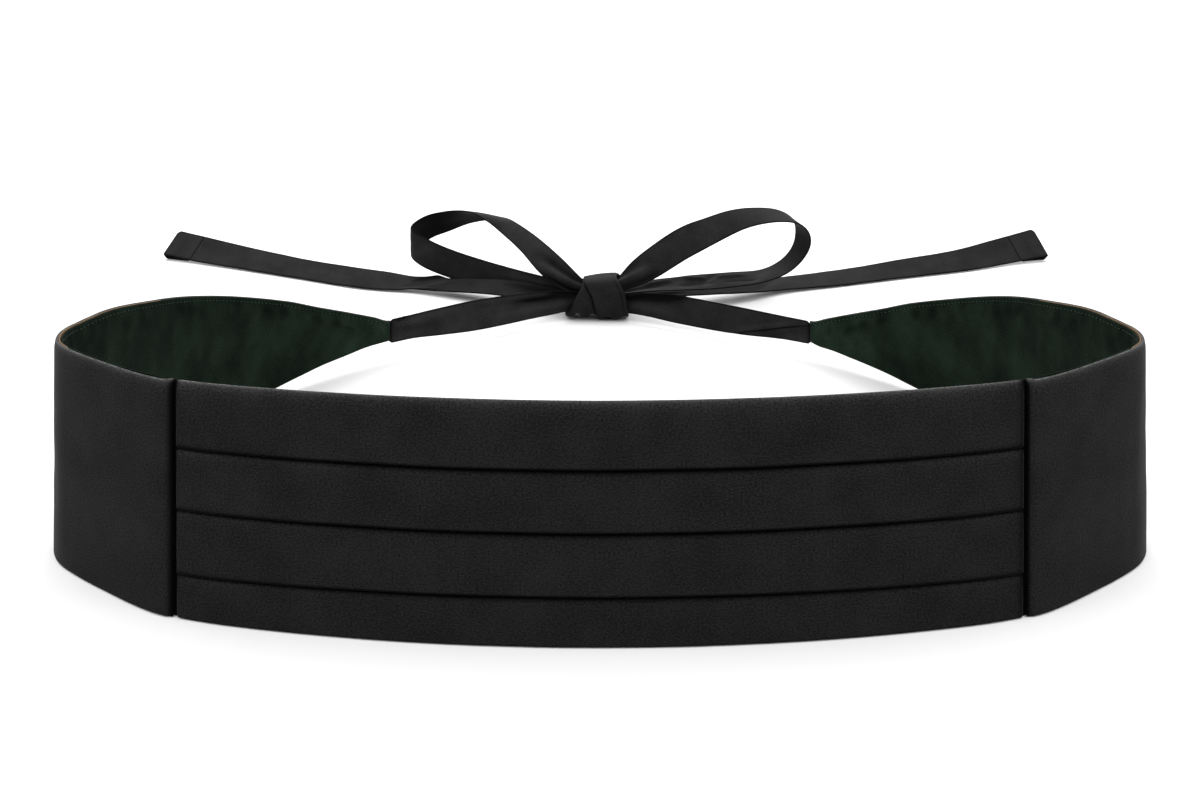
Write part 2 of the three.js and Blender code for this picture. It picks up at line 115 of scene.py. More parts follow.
LOOP_LEFT = np.array([
    [-4, 442, 18.8, -0.15, -0.75, -0.66, 12, 1.2],
    [-15, 442, 20, -0.25, -0.66, -0.7, 15, 1.5],
    [-33, 452, 32, -0.6, -0.52, -0.6, 19, 1.5],
    [-50, 470, 43.9, -0.6, -0.3, -0.74, 15.6, 1.2],
    [-64.8, 494, 49.2, -0.28, -0.7, -0.66, 13.2, 0.8],
    [-76.9, 515, 51.2, -0.15, -0.95, -0.18, 12.2, 1.6],
    [-89.6, 529, 51, -0.1, -0.9, 0.42, 18.6, 2.2],
    [-104, 537, 48.8, -0.1, -0.73, 0.68, 20, 0],
    [-118, 540, 44.5, 0.05, -0.42, 0.9, 19.6, 0],
    [-132, 538, 40.2, 0.02, -0.2, 0.98, 19.8, 0.8],
    [-141.8, 527.5, 32.4, 0.03, 0, 1, 20.8, 1.8],
    [-129.8, 516, 25.4, 0.34, 0, 0.94, 21.4, 0.8],
    [-105, 508, 17.6, 0.34, -0.05, 0.94, 21.4, 0],
    [-78, 492, 14.8, 0.28, -0.12, 0.95, 19.5, 0.5],
    [-57, 475, 15.2, 0.22, -0.15, 0.96, 17, 0.8],
    [-38, 461, 15.5, 0.15, -0.15, 0.97, 15, 1],
    [-18, 450, 13, 0.08, -0.08, 1, 12.4, 1],
    [-5, 446.6, 11.6, 0, 0, 1, 11.5, 0.8],
])
LOOP_RIGHT = np.array([
    [-4, 443, 20.4, -0.22, -0.95, -0.22, 12.4, 1.2],
    [-15, 445.4, 22.4, -0.36, -0.87, -0.32, 13.8, 1.5],
    [-32, 455, 31, -0.65, -0.35, -0.67, 20, 1.5],
    [-58, 463, 46.5, -0.46, -0.24, -0.85, 22, 0.4],
    [-80, 470, 55.2, -0.39, -0.6, -0.68, 21, 0],
    [-97, 475, 61, -0.2, -0.83, -0.5, 21.5, 0],
    [-112, 479, 63, -0.05, -0.93, -0.35, 21.5, 0],
    [-128.5, 482, 62.6, -0.02, -0.98, -0.18, 21.5, 0],
    [-142, 483, 57.4, -0.15, -0.98, 0.05, 21.5, 0],
    [-147, 483, 46.4, -0.4, -0.9, 0.12, 21.5, 0],
    [-143, 483, 34, -0.39, -0.92, 0.06, 21.5, 0],
    [-133, 482, 24, -0.29, -0.95, -0.09, 21.5, 0],
    [-118, 480, 18.4, -0.12, -0.98, -0.16, 20.6, 0],
    [-96, 474, 17.4, 0.04, -0.96, -0.26, 20, 0.3],
    [-76, 468, 17.4, 0.06, -0.96, -0.28, 19.6, 0.6],
    [-56, 461, 17.9, 0.05, -0.97, -0.25, 18, 0.8],
    [-36, 454, 18.2, 0.03, -0.98, -0.2, 16, 1],
    [-18, 448.4, 17, 0.01, -0.99, -0.17, 13, 1],
    [-5, 445.6, 16, 0, -0.99, -0.1, 11.8, 0.8],
])
TAIL_LEFT = np.array([
    [-5, 440.3, 11.6, 0, 0.16, 0.99, 11.5, 0.6],
    [-17, 441.6, 12, 0, 0.34, 0.94, 12.4, 0.8],
    [-39, 452, 12.6, -0.03, 0.75, 0.66, 15, 0.8],
    [-71, 471, 12.4, -0.05, 0.92, 0.36, 17, 0.5],
    [-111, 494, 7.6, -0.08, 0.97, 0.22, 17.8, 0.3],
    [-137, 507, 4.8, -0.07, 0.97, 0.24, 18.8, 0],
    [-162, 512, 5.6, -0.03, 0.9, 0.44, 20, 0],
    [-187, 521, 6, 0, 0.88, 0.47, 20, 0],
    [-232, 545, 6, 0.01, 0.87, 0.48, 20, 0],
    [-278, 570.4, 7, 0.1, 0.87, 0.48, 23.2, 0],
    [-314, 587.6, 8.9, 0.38, 0.7, 0.6, 24.4, 0],
    [-334, 597, 10.4, 0.41, 0.68, 0.6, 25.2, 0],
    [-350, 604.4, 11.8, 0.41, 0.68, 0.61, 25.6, 0],
])
TAIL_RIGHT = np.array([
    [-5, 445.6, 14.2, 0, 0.99, 0.1, 11.8, 0.6],
    [-17, 448.2, 14.2, -0.01, 0.99, 0.14, 13, 0.8],
    [-45, 460, 12.4, -0.04, 0.99, 0.15, 16, 0.8],
    [-77, 477, 9.4, -0.07, 0.99, 0.14, 18, 0.5],
    [-110, 493, 6.6, -0.08, 0.98, 0.16, 18.5, 0.3],
    [-137, 508, 4.6, -0.05, 0.98, 0.2, 19, 0],
    [-176, 523, 4.2, -0.06, 0.96, 0.28, 20, 0],
    [-201, 533, 4.6, -0.06, 0.95, 0.32, 20, 0],
    [-239, 548, 5.8, -0.02, 0.88, 0.46, 20, 0],
    [-286, 566.6, 7, 0.08, 0.84, 0.54, 22, 0],
    [-323, 584.4, 9.7, 0.39, 0.63, 0.67, 23.8, 0],
    [-342, 592.6, 11.6, 0.41, 0.63, 0.66, 25.6, 0],
    [-358, 599.6, 13.2, 0.41, 0.62, 0.67, 27, 0],
])
KNOT_Y, KNOT_Z = 442.8, 14.4
KNOT_HALF_DEPTH, KNOT_HALF_HEIGHT, KNOT_SQUARENESS = 15, 11.4, 2.6
KNOT_SEAM_IN = 2.7  # the wraps' edge stitching runs this far in from one edge

# ---- Placing and joining ----

MM = 1000  # millimetres in the frame's metre
front_low, front_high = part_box("pleated_front")
PLACE = np.array([
    (front_low[0] + front_high[0]) * MM / 2,
    front_low[1] * MM - FOLD_ROUND * math.tan(LEAN),
    front_low[2] * MM,
])


def place(points):
    """The table's millimetres moved to the CAD's place and turned to metres."""
    return (np.asarray(points) + PLACE) / MM


def smooth(start, stop, value):
    """0 before start, 1 after stop, and 3t^2 - 2t^3 between them."""
    t = np.clip((value - start) / (stop - start), 0, 1)
    return t * t * (3 - 2 * t)


def mix(a, b, t):
    """a where t is 0, b where t is 1, in proportion between."""
    return a + (b - a) * t


def steps(start, stop, spacing, rim=0.0):
    """Even places from start to stop, with three more close to each end for a rounded rim."""
    count = max(int(round((stop - start) / spacing)), 2)
    inner = np.linspace(start + rim, stop - rim, count + 1)
    if not rim:
        return inner
    close = np.array([0, 0.08, 0.3, 0.6]) * rim
    return np.concatenate([start + close, inner, (stop - close)[::-1]])


def bell(value, at, width):
    """1 where value is at, and a Gaussian fall to each side of it."""
    return np.exp(-((value - at) / width) ** 2)


def rim_round(distance, radius):
    """A quarter circle: 0 on the edge, 1 from one radius inwards."""
    return np.sqrt(1 - (1 - np.clip(distance / radius, 0, 1)) ** 2)


def unit(vectors):
    """The vectors at length 1."""
    return vectors / np.maximum(np.linalg.norm(vectors, axis=-1, keepdims=True), 1e-9)


def skins(middle, half, closed=False):
    """Two skins, half a thickness each side of a middle surface, that share its open edges.

    Each point moves along the cross product of the grid's two central differences. Returns
    points, quads and each point's grid number, which gives it its cloth coordinates.
    """
    rows, columns = middle.shape[:2]
    along, across = np.gradient(middle, axis=(0, 1))
    if closed:
        along = np.roll(middle, -1, 0) - np.roll(middle, 1, 0)
    normal = unit(np.cross(along, across))
    front = np.arange(rows * columns).reshape(rows, columns)
    shared = np.zeros((rows, columns), bool)
    shared[:, [0, -1]] = True
    if not closed:
        shared[[0, -1], :] = True
    half = np.where(shared, 0, half)[..., None]
    back = np.where(shared, front, 0)
    back[~shared] = rows * columns + np.arange((~shared).sum())
    points = np.concatenate([
        (middle + normal * half).reshape(-1, 3), (middle - normal * half)[~shared],
    ])
    cell = np.concatenate([front.ravel(), front[~shared]])
    quads = []
    for skin, turned in ((front, False), (back, True)):
        here, ahead = (skin, np.roll(skin, -1, 0)) if closed else (skin[:-1], skin[1:])
        quad = np.stack([here[:, :-1], ahead[:, :-1], ahead[:, 1:], here[:, 1:]], -1)
        quads.append((quad[..., ::-1] if turned else quad).reshape(-1, 4))
    return points, np.concatenate(quads), cell


def linked(name, data):
    """A new object with this data, in the scene."""
    thing = bpy.data.objects.new(name, data)
    bpy.context.collection.objects.link(thing)
    return thing


def make_piece(node, parts, material, made_of="cloth"):
    """One mesh of several (points, groups of faces, cloth coordinates, painted shading), for a CAD
    node.

    The painted shading multiplies the colour: 1 on open cloth, towards 0 for painted shade deep in
    a groove, where its fibres see no light, and above 1 for painted highlights.
    Without made_of the piece is extra and replaces no node.
    """
    name = f"{node}_{made_of}" if made_of else node
    points, faces, coordinates, painted_shadings, start = [], [], [], [], 0
    for part_points, groups, cloth_uv, painted_shading in parts:
        points.append(place(part_points))
        painted_shadings.append(np.broadcast_to(painted_shading, len(part_points)))
        for group in groups:
            faces += (group + start).tolist()
            coordinates.append(cloth_uv[group.ravel()])
        start += len(part_points)
    mesh = bpy.data.meshes.new(name)
    mesh.from_pydata(np.concatenate(points), [], faces, shade_flat=False)
    mesh.uv_layers.new(name="cloth").data.foreach_set("uv", np.concatenate(coordinates).ravel())
    mesh.attributes.new("painted_shading", "FLOAT", "POINT").data.foreach_set("value", np.concatenate(painted_shadings))
    mesh.validate()
    mesh.materials.append(material)
    piece = linked(name, mesh)
    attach(piece, "root")
    if made_of:
        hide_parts(node)
    return piece


def cloth_part(middle, half, along, across, painted_shading=1.0, closed=False, back=1.0):
    """Skins with cloth coordinates in metres: distance along and across the cut.

    The back skin's painted shading is the front's times back.
    """
    points, quads, cell = skins(middle, half, closed)
    grid = np.stack(np.broadcast_arrays(along, across), -1).reshape(-1, 2) / MM
    painted_shadings = np.broadcast_to(painted_shading, middle.shape[:2]).ravel()[cell]
    painted_shadings[middle.shape[0] * middle.shape[1]:] *= back
    return points, [quads], grid[cell], painted_shadings


def sided(side, *grids):
    """The grids as they are on the right, and in reverse on the left, so that faces point out."""
    return grids if side > 0 else tuple(grid[::-1] for grid in grids)


def folds(along, across, creases):
    """Sum of soft ridges (height above 0) and troughs (below 0).

    Each is a bell across a straight line from one place on the cloth to another, and fades
    out at the line's two ends. Columns: from along, from across, to along, to across,
    width, height.
    """
    total = np.zeros(np.broadcast(along, across).shape)
    for a0, b0, a1, b1, width, height in creases:
        length = math.hypot(a1 - a0, b1 - b0)
        on = ((along - a0) * (a1 - a0) + (across - b0) * (b1 - b0)) / length ** 2
        off = ((along - a0) * (b1 - b0) - (across - b0) * (a1 - a0)) / length
        fade = smooth(-0.2, 0.25, on) * (1 - smooth(0.75, 1.2, on))
        total += height * fade * bell(off, 0, width)
    return total


FULL_TURN = 6.28  # radians, near enough for a wave
WAVES = 6


def hand(along, across, size, seed):
    """The cloth's soft unevenness: six sine waves of nearly one size in fixed directions."""
    draw = np.random.default_rng(seed)
    turns, shifts = draw.uniform(0, FULL_TURN, WAVES), draw.uniform(0, FULL_TURN, WAVES)
    total = 0
    for turn, shift, stretch in zip(turns, shifts, draw.uniform(0.7, 1.4, WAVES)):
        wave = FULL_TURN / (size * stretch)
        total = total + np.sin(wave * (along * math.cos(turn) + across * math.sin(turn)) + shift)
    return total / WAVES


# ---- Materials ----

def linear(colour):
    """An sRGB hex colour as linear red, green, blue and 1."""
    values = np.array([int(colour[i:i + 2], 16) for i in (1, 3, 5)]) / 255
    low, high = values / 12.92, ((values + 0.055) / 1.055) ** 2.4
    return (*np.where(values <= 0.04045, low, high).tolist(), 1.0)


def fill(node, **sockets):
    """Gives each socket, by name or by _ and its number, a value or a node's output."""
    for key, value in sockets.items():
        numbered = key[0] == "_" and key[1:].isdigit()
        socket = node.inputs[int(key[1:]) if numbered else key.replace("_", " ")]
        if isinstance(value, bpy.types.Node):
            value = value.outputs[0]
        if isinstance(value, bpy.types.NodeSocket):
            node.id_data.links.new(value, socket)
        else:
            socket.default_value = value


def add(tree, kind, settings=(), **sockets):
    """A node with its settings and sockets filled in."""
    node = tree.nodes.new(f"ShaderNode{kind}")
    for key, value in dict(settings).items():
        setattr(node, key, value)
    fill(node, **sockets)
    return node


def finish(name):
    """A new material and its shader."""
    material = bpy.data.materials.new(name)
    material.use_nodes = True
    return material, material.node_tree.nodes["Principled BSDF"]


FIBRE_IOR = 1.5  # polyester, acetate and cotton lie between 1.47 and 1.6
NOISE_LOW, NOISE_HIGH = 0.395, 0.605  # most of a noise texture's values lie between these
LONG_PEBBLES = (1, 1.5, 1)  # packed closer across the cloth than along it


def woven(name, dark, light, sheen_tint, rough, cloudy, thread=0.0009, depth=0.0004, gloss=0.1,
          sheen=0.02, cloud_share=0.3):
    """Cloth with a pebbled weave, its threads thread metres apart, and soft cloudy shading.

    Grain and cloud, weighed together, run the colour from dark to light, and the piece's
    painted shading multiplies it: painted shade in grooves and painted highlights where it is
    above 1. The pebbles give the bump, depth metres high. The clouds are cloudy metres across.
    """
    material, shader = finish(name)
    tree = material.node_tree
    flat = add(tree, "UVMap", {"uv_map": "cloth"})
    stretched = add(tree, "Mapping", Vector=flat, Scale=LONG_PEBBLES)
    pebble = add(tree, "TexVoronoi", {"feature": "SMOOTH_F1"}, Vector=stretched,
                 Scale=1 / thread, Smoothness=0.6, Randomness=0.85)
    grain = add(tree, "TexNoise", Vector=stretched, Scale=0.95 / thread, Detail=2.0)
    cloud = add(tree, "TexNoise", Vector=flat, Scale=1 / cloudy, Detail=4.0, Roughness=0.6)
    weighed = add(tree, "Mix", {"data_type": "FLOAT"}, _0=cloud_share, _2=grain, _3=cloud)
    ramp = add(tree, "ValToRGB", Fac=weighed)
    for stop, position, colour in zip(
            ramp.color_ramp.elements, (NOISE_LOW, NOISE_HIGH), (dark, light)):
        stop.position, stop.color = position, linear(colour)
    # The piece's painted light and shade, multiplied into the colour below.
    painted_shading = add(tree, "Attribute", {"attribute_name": "painted_shading"}).outputs["Fac"]
    shaded = add(tree, "VectorMath", {"operation": "SCALE"}, _0=ramp, Scale=painted_shading)
    bump = add(tree, "Bump", Height=pebble, Strength=0.35, Distance=depth)
    fill(shader, Base_Color=shaded, Normal=bump, Roughness=rough, IOR=FIBRE_IOR,
         Specular_IOR_Level=gloss, Sheen_Weight=sheen, Sheen_Roughness=0.3,
         Sheen_Tint=linear(sheen_tint))
    return material


# Polyester barathea: a pebbled broken rib, matt face on and grey at a glancing angle. Its ribs
# are 0.4 mm apart, drawn 0.9 mm apart so that they show.
barathea = woven("black_barathea", "#111111", "#212121", "#d4d4d4", rough=0.75, cloudy=0.022,
                 gloss=0.03, sheen=0.105, cloud_share=0.25)
# The same cloth cut on the straight for the ties, smoother where it is pressed, and painted a
# shade lighter than the band's: painted light on ribbons that face up.
tie_cloth = woven("black_tie_barathea", "#141414", "#222222", "#d4d4d4", rough=0.65,
                  cloudy=0.016, depth=0.0003, gloss=0.04, sheen=0.09, cloud_share=0.4)
# Acetate lining twill: dark green with a soft bloom. Its threads are 0.2 mm apart, drawn
# 0.8 mm apart so that they show.
lining_twill = woven("green_lining_twill", "#080f0a", "#1c271f", "#9fc0ae", rough=0.6,
                     cloudy=0.026, thread=0.0008, depth=0.0002, gloss=0.01, cloud_share=0.33)
# Hair canvas: unbleached, coarse and dull.
canvas = woven("undyed_hair_canvas", "#554736", "#89725a", "#e8dcc4", rough=0.9, cloudy=0.02)
# Polyester thread, a shade lighter than the lining that it holds.
thread = woven("green_sewing_thread", "#25382d", "#364b3e", "#b5cfc0", rough=0.5, cloudy=0.01,
               thread=0.0006, depth=0.0001)

# ---- The band ----

def plan(length):
    """The hem's place and outward direction: tangent arcs run one after another."""
    side, rest = np.where(length < 0, -1.0, 1.0), np.abs(length)
    x, y, heading = np.zeros_like(rest), np.full_like(rest, PLEAT_FOLD), np.zeros_like(rest)
    for i, (arc, turn) in enumerate(PLAN):
        run = rest if i == len(PLAN) - 1 else np.minimum(rest, arc)
        bend = math.radians(turn) / arc
        end = heading + bend * run
        x += (np.sin(end) - np.sin(heading)) / bend
        y += (np.cos(heading) - np.cos(end)) / bend
        heading, rest = end, rest - run
    return side * x, y, side * np.sin(heading), -np.cos(heading)


SLANT_FADES = 60  # millimetres past the seam in which the slant is lost


def wall_point(length, height, out):
    """A place on the leaning wall: from the hem outwards, less what the lean takes off.

    The seams slant to the centre front, and the wall beyond them less and less.
    """
    far = np.abs(length)
    fade = 1 - smooth(SEAM_AT, SEAM_AT + SLANT_FADES, far)
    share = np.minimum(far / SEAM_AT, 1)
    x, y, out_x, out_y = plan(
        length - np.sign(length) * SEAM_SLANT * height / BAND_HEIGHT * share * fade)
    offset = out - height * math.tan(LEAN)
    return np.stack(np.broadcast_arrays(x + out_x * offset, y + out_y * offset, height), -1)


def edge(column, length):
    """Monotone cubic through one column of EDGES; the right wing hangs a little lower.

    Its slopes are the harmonic means of its neighbours' slopes. Length is signed, and the
    right side's is positive.
    """
    sag = RIGHT_SAG[column] * smooth(SAG_FROM, SAG_FULL, length)
    sag = sag * (1 - smooth(SAG_EASES, SAG_TO, length))
    length = np.abs(length)
    at, value = EDGES[:, 0], EDGES[:, column]
    slope = np.diff(value) / np.diff(at)
    tangent = np.zeros(len(at))
    tangent[0] = slope[0]
    level = slope[:-1] * slope[1:] > 0
    tangent[1:-1][level] = 2 / (1 / slope[:-1][level] + 1 / slope[1:][level])
    i = np.clip(np.searchsorted(at, length) - 1, 0, len(at) - 2)
    span = at[i + 1] - at[i]
    t = np.clip((length - at[i]) / span, 0, 1)
    height = ((2 * t ** 3 - 3 * t ** 2 + 1) * value[i]
              + (t ** 3 - 2 * t ** 2 + t) * span * tangent[i]
              + (3 * t ** 2 - 2 * t ** 3) * value[i + 1]
              + (t ** 3 - t ** 2) * span * tangent[i + 1])
    return np.maximum(height - sag, 0)


TIER_END = SEAM_AT + 5
TUCK = 3.0  # how far a tier runs up behind the one above it
TIER_THICK, TUCKED_THICK, UNDER_PANEL_THICK = 1.5, 0.5, 0.9
TUCKED_OUT = 0.3  # middle of a tier's tucked end, outwards from the band's inner face
UNDER_PANEL_OUT = 0.55  # and of its end under a side panel
HEM_OUT = 2.35  # the lowest tier's folded edge
SEAM_DIVE = (3.2, 0.9)  # short of the seam, where a tier drops under the side panel
BELLY = 0.3
TOP_ROLL, TOP_ROLLS = 0.8, 4  # how far the top edge rolls inwards, and in what height

# Close steps where cloth rounds over: from the seam, short of a tier's end, above its fold,
# from the top edge, and from the fold above.
SEAM_STEPS = np.array([-4.2, -3.5, -3, -2.6, -2.2, -1.8, -1.4, -1.0, -0.6, -0.2, 0.4])
END_STEPS = np.array([2.6, 0.8, 0.48, 0.24, 0.06, 0])
FOLD_STEPS = np.array([[0, 0.06, 0.25, 0.52, 0.9, 1.4]])
TOP_STEPS = np.array([[-4, -3.2, -2.5, -1.9, -1.4, -1.0, -0.65, -0.4, -0.2, -0.05, 0]])
GROOVE_STEPS = np.array([[-3.6, -3, -2.5, -2.1, -1.7, -1.4, -1.1, -0.8, -0.5, -0.2, 0.2, 1,
                          TUCK - 0.6, TUCK - 0.2, TUCK]])


def painted_rim_highlight(below):
    """A painted highlight where a top edge rolls over: two exponentials, a short and a long."""
    return 5.5 * np.exp(-below / 0.7) + 0.9 * np.exp(-below / 2.6)


def painted_tier_shading(number, length, height, low, above):
    """A tier's painted shading: painted shade that steps down smoothly into the groove above, at
    the seams and at its own fold.

    A painted highlight runs along the top edge, and faintly along the lip of each groove. The
    left seam's painted shade is narrower than the right one's.
    """
    far, below = np.abs(length), above - height
    open_share = 1 - (far / SEAM_AT) ** 3
    if number == len(PLEATS):
        painted_shading = 1 + mix(1.2, 0.9, open_share) * painted_rim_highlight(below)
    else:
        painted_shading = smooth(mix(0.3, 0.6, open_share), mix(1.25, 3.3, open_share), below)
        # Painted highlight along the lip below each groove, stronger towards the seams.
        painted_lip_highlight = 0.35 if number == len(PLEATS) - 1 else 0.15
        painted_shading = painted_shading + painted_lip_highlight * (far / SEAM_AT) ** 2 * bell(below, 2.2, 1.4)
    seam_shade = np.where(length < 0, 3.4, 6.0)
    painted_shading = painted_shading * (1 - 0.98 * smooth(SEAM_AT - seam_shade, SEAM_AT - 1.2, far))
    # Painted shade just above the tier's own fold; on the lowest tier, along its foot on the
    # floor.
    if number:
        painted_shading = painted_shading * mix(0.03, 1, smooth(0.3, mix(2.4, 1.2, open_share), height - low))
    else:
        painted_shading = painted_shading * mix(0.35, 1, smooth(0.1, 1.0, height))
    return np.maximum(painted_shading, 0.03)


def tier(number):
    """One tier: it rises from a thick rounded fold and dives behind the fold above it.

    Its face leans back a little with a low belly, a sine, then drops by a smooth step to its
    tucked end, and at the seams likewise to run under the side panels. The groove widens
    towards the centre front.
    """
    half_lengths = np.concatenate([
        steps(0, SEAM_AT - 5, 2.2), SEAM_AT + SEAM_STEPS, TIER_END - END_STEPS])
    length = np.concatenate([-half_lengths[:0:-1], half_lengths])[:, None]
    far = np.abs(length)
    open_share = 1 - (far / SEAM_AT) ** 3
    across = (far / SEAM_AT) ** 2
    wave = 0.3 * hand(length, 0 * length, 70, 51) * open_share
    fold_lines = [np.zeros_like(length)] + [
        mix(centre, seam, across) + wave * (k + 2) / 3 for k, (centre, seam) in enumerate(PLEATS)]
    low = fold_lines[number]
    is_top = number == len(PLEATS)
    above = edge(2, far) if is_top else fold_lines[number + 1]
    # The even stretch between the close steps, less a little at its upper end.
    close, apart = (TOP_STEPS, 1.0) if is_top else (GROOVE_STEPS, 0.6)
    body = above - low - (FOLD_STEPS[0, -1] - close[0, 0] + apart)
    height = np.concatenate([
        low + FOLD_STEPS, low + FOLD_STEPS[0, -1] + body * np.linspace(0, 1, 16)[None, 1:],
        above + close], 1)
    rise = np.clip((height - low) / (above - low), 0, 1)
    fold_out = HEM_OUT if number == 0 else PLEAT_FOLD + 0.35 + 0.25 * open_share
    face = fold_out - (0.75 if is_top else 0.45) * rise + BELLY * np.sin(np.pi * rise)
    uneven = 0.22 * hand(length, height, 46, 11 + number)
    uneven = uneven + 0.10 * hand(length, height, 17, 31 + number)
    face = face + uneven * np.sin(np.pi * rise) ** 0.5
    below = above - height
    if is_top:
        dive = np.zeros_like(height)
        face = face - TOP_ROLL * (1 - smooth(0, TOP_ROLLS, below))
    else:
        dive = 1 - smooth(0.3, mix(1.5, 2.4, open_share), below)
    seam = smooth(SEAM_AT - SEAM_DIVE[0], SEAM_AT - SEAM_DIVE[1], far)
    thick = mix(TIER_THICK, TUCKED_THICK, dive)
    thick = mix(thick, np.minimum(thick, UNDER_PANEL_THICK), seam)
    middle_out = mix(face - TIER_THICK / 2, TUCKED_OUT, dive)
    middle_out = mix(middle_out, UNDER_PANEL_OUT, seam * (1 - dive))
    middle = wall_point(length, height, middle_out)
    from_edge = np.minimum(height - low, height[:, -1:] - height)
    rounding = np.where(rise < 0.5, 0.75, 0.6 if is_top else 0.25)
    half = thick / 2 * rim_round(from_edge, rounding) * rim_round(TIER_END - far, 0.8)
    painted_shading = painted_tier_shading(number, length, height, low, above)
    return cloth_part(middle[::-1], half[::-1], length[::-1] + 300, height, painted_shading[::-1])


tiers = [tier(number) for number in range(len(PLEATS) + 1)]
pleated_cloth = make_piece("pleated_front", tiers, barathea)

PANEL_THICK = 1.4
PANEL_CREASES = {  # length along the hem, height above the lower edge
    "left": [
        (205, 84, 232, 70, 7, 0.35), (262, 20, 268, 60, 5, -0.3), (278, 55, 285, 96, 4, 0.3),
        (300, 10, 304, 50, 5, 0.35), (350, 20, 420, 30, 9, -0.5), (470, 24, 560, 17, 4, 0.5),
        (490, 34, 565, 20, 3.5, -0.45), (186, 8, 200, 4, 5, 0.3),
    ],
    "right": [
        (200, 60, 226, 82, 7, 0.35), (258, 30, 262, 74, 5, -0.3), (282, 8, 288, 44, 4, 0.3),
        (296, 50, 302, 92, 5, 0.35), (340, 30, 430, 24, 9, -0.5), (480, 26, 562, 16, 4, 0.5),
        (470, 40, 566, 21, 3.5, -0.4),
    ],
}
PANEL_STEPS = np.array([0, 0.07, 0.27, 0.54, 0.9, 1.4, 2.0, 2.7, 3.5, 4.4, 5.6])
RIM_SHARES = [0.955, 0.968, 0.978, 0.985, 0.99, 0.994, 0.997, 0.9992, 1]  # close to the top edge
TURNING = 6  # width of the panel's front edge that is turned in double
PANEL_ROLL = 0.5  # how far the top edge rolls inwards


def side_panel(word, side):
    """The panel from its folded front edge round to the tie.

    It lies over the pleats' ends, then settles onto the band by a smooth step. Its front edge
    is a thicker double fold, with painted shade where it turns under, but for its upper corner,
    and a painted highlight runs along its top edge.
    """
    length = np.concatenate([
        SEAM_AT + PANEL_STEPS,
        steps(SEAM_AT + TURNING + 1, BAND_END - HALF_GAP, 2.0, 0.9)[3:]])[:, None]
    past = length - SEAM_AT
    low, top = edge(1, side * length), edge(2, side * length)
    top = top + 0.5 * (1 - smooth(0.5, 5, past))  # the corner stands up a little
    share = np.concatenate([steps(0, 0.94, 0.035, 0.014)[:-3], RIM_SHARES])[None, :]
    height = mix(low, top, share)
    inner = mix(PANEL_OVER_PLEATS, 0.05, smooth(TURNING, TURNING + PANEL_SETTLE, past))
    thick = PANEL_THICK + 0.5 * (1 - smooth(TURNING, 20, past)) - 1.1 * (1 - smooth(0, 3.6, past))
    ends = rim_round(np.minimum(share, 1 - share) * (top - low), 0.8)
    roll = 0.12 * bell(past, 2.2, 2.0) * np.sin(height / 9.0)
    uneven = 0.28 * hand(length, height, 52, 5 if side < 0 else 6)
    uneven = uneven + 0.12 * hand(length, height, 19, 7 if side < 0 else 8)
    shaped = folds(length, height - low, PANEL_CREASES[word])
    quiet = smooth(0, 12, past) * np.sin(np.pi * np.clip(share, 0.02, 0.98)) ** 0.4
    out = inner + thick / 2 + roll + np.maximum((uneven + shaped) * quiet, -0.3)
    out = out - PANEL_ROLL * (1 - smooth(0, 4, top - height))
    middle = wall_point(side * length, height, out)
    half = thick / 2 * ends * rim_round(past, 0.95) * rim_round(BAND_END - HALF_GAP - length, 0.7)
    # Painted shade where the front edge turns under, wider on the left, and a painted highlight
    # along the top edge.
    shade = 3.2 if side < 0 else 1.9
    painted_shading = mix(0.02, 1, smooth(0.3, shade, past + 3 * np.exp((height - top) / 0.9)))
    painted_shading = painted_shading * (1 + painted_rim_highlight(top - height))
    part = sided(side, middle, half, length, height, painted_shading)
    return make_piece(f"side_panel_{word}", [cloth_part(*part)], barathea)


side_panels = {word: side_panel(word, side) for word, side in SIDES}


def interlining(word, side):
    """The stiffening: a plain wall between shell and lining, which shows only at the sides."""
    length = steps(INTERLINING_FROM, INTERLINING_TO, 3.0, 0.3)[:, None]
    share = steps(0, 1, 0.08, 0.004)[None, :]
    shown = mix(0.1, -0.35, smooth(270, 350, length))
    low = edge(1, side * length) + 0.8
    top = edge(2, side * length) + mix(-2.2, shown, smooth(243, 252, length))
    height = mix(low, top, share)
    middle = wall_point(side * length, height, np.full(height.shape, INTERLINING_OUT))
    from_end = np.minimum(length - INTERLINING_FROM, INTERLINING_TO - length)
    half = 0.28 * rim_round(np.minimum(share, 1 - share) * (top - low), 0.3)
    part = sided(side, middle, half * rim_round(from_end, 0.3), length, height)
    return make_piece(
        f"interlining_{word}", [cloth_part(*part)], canvas, "canvas")


interlinings = {word: interlining(word, side) for word, side in SIDES}

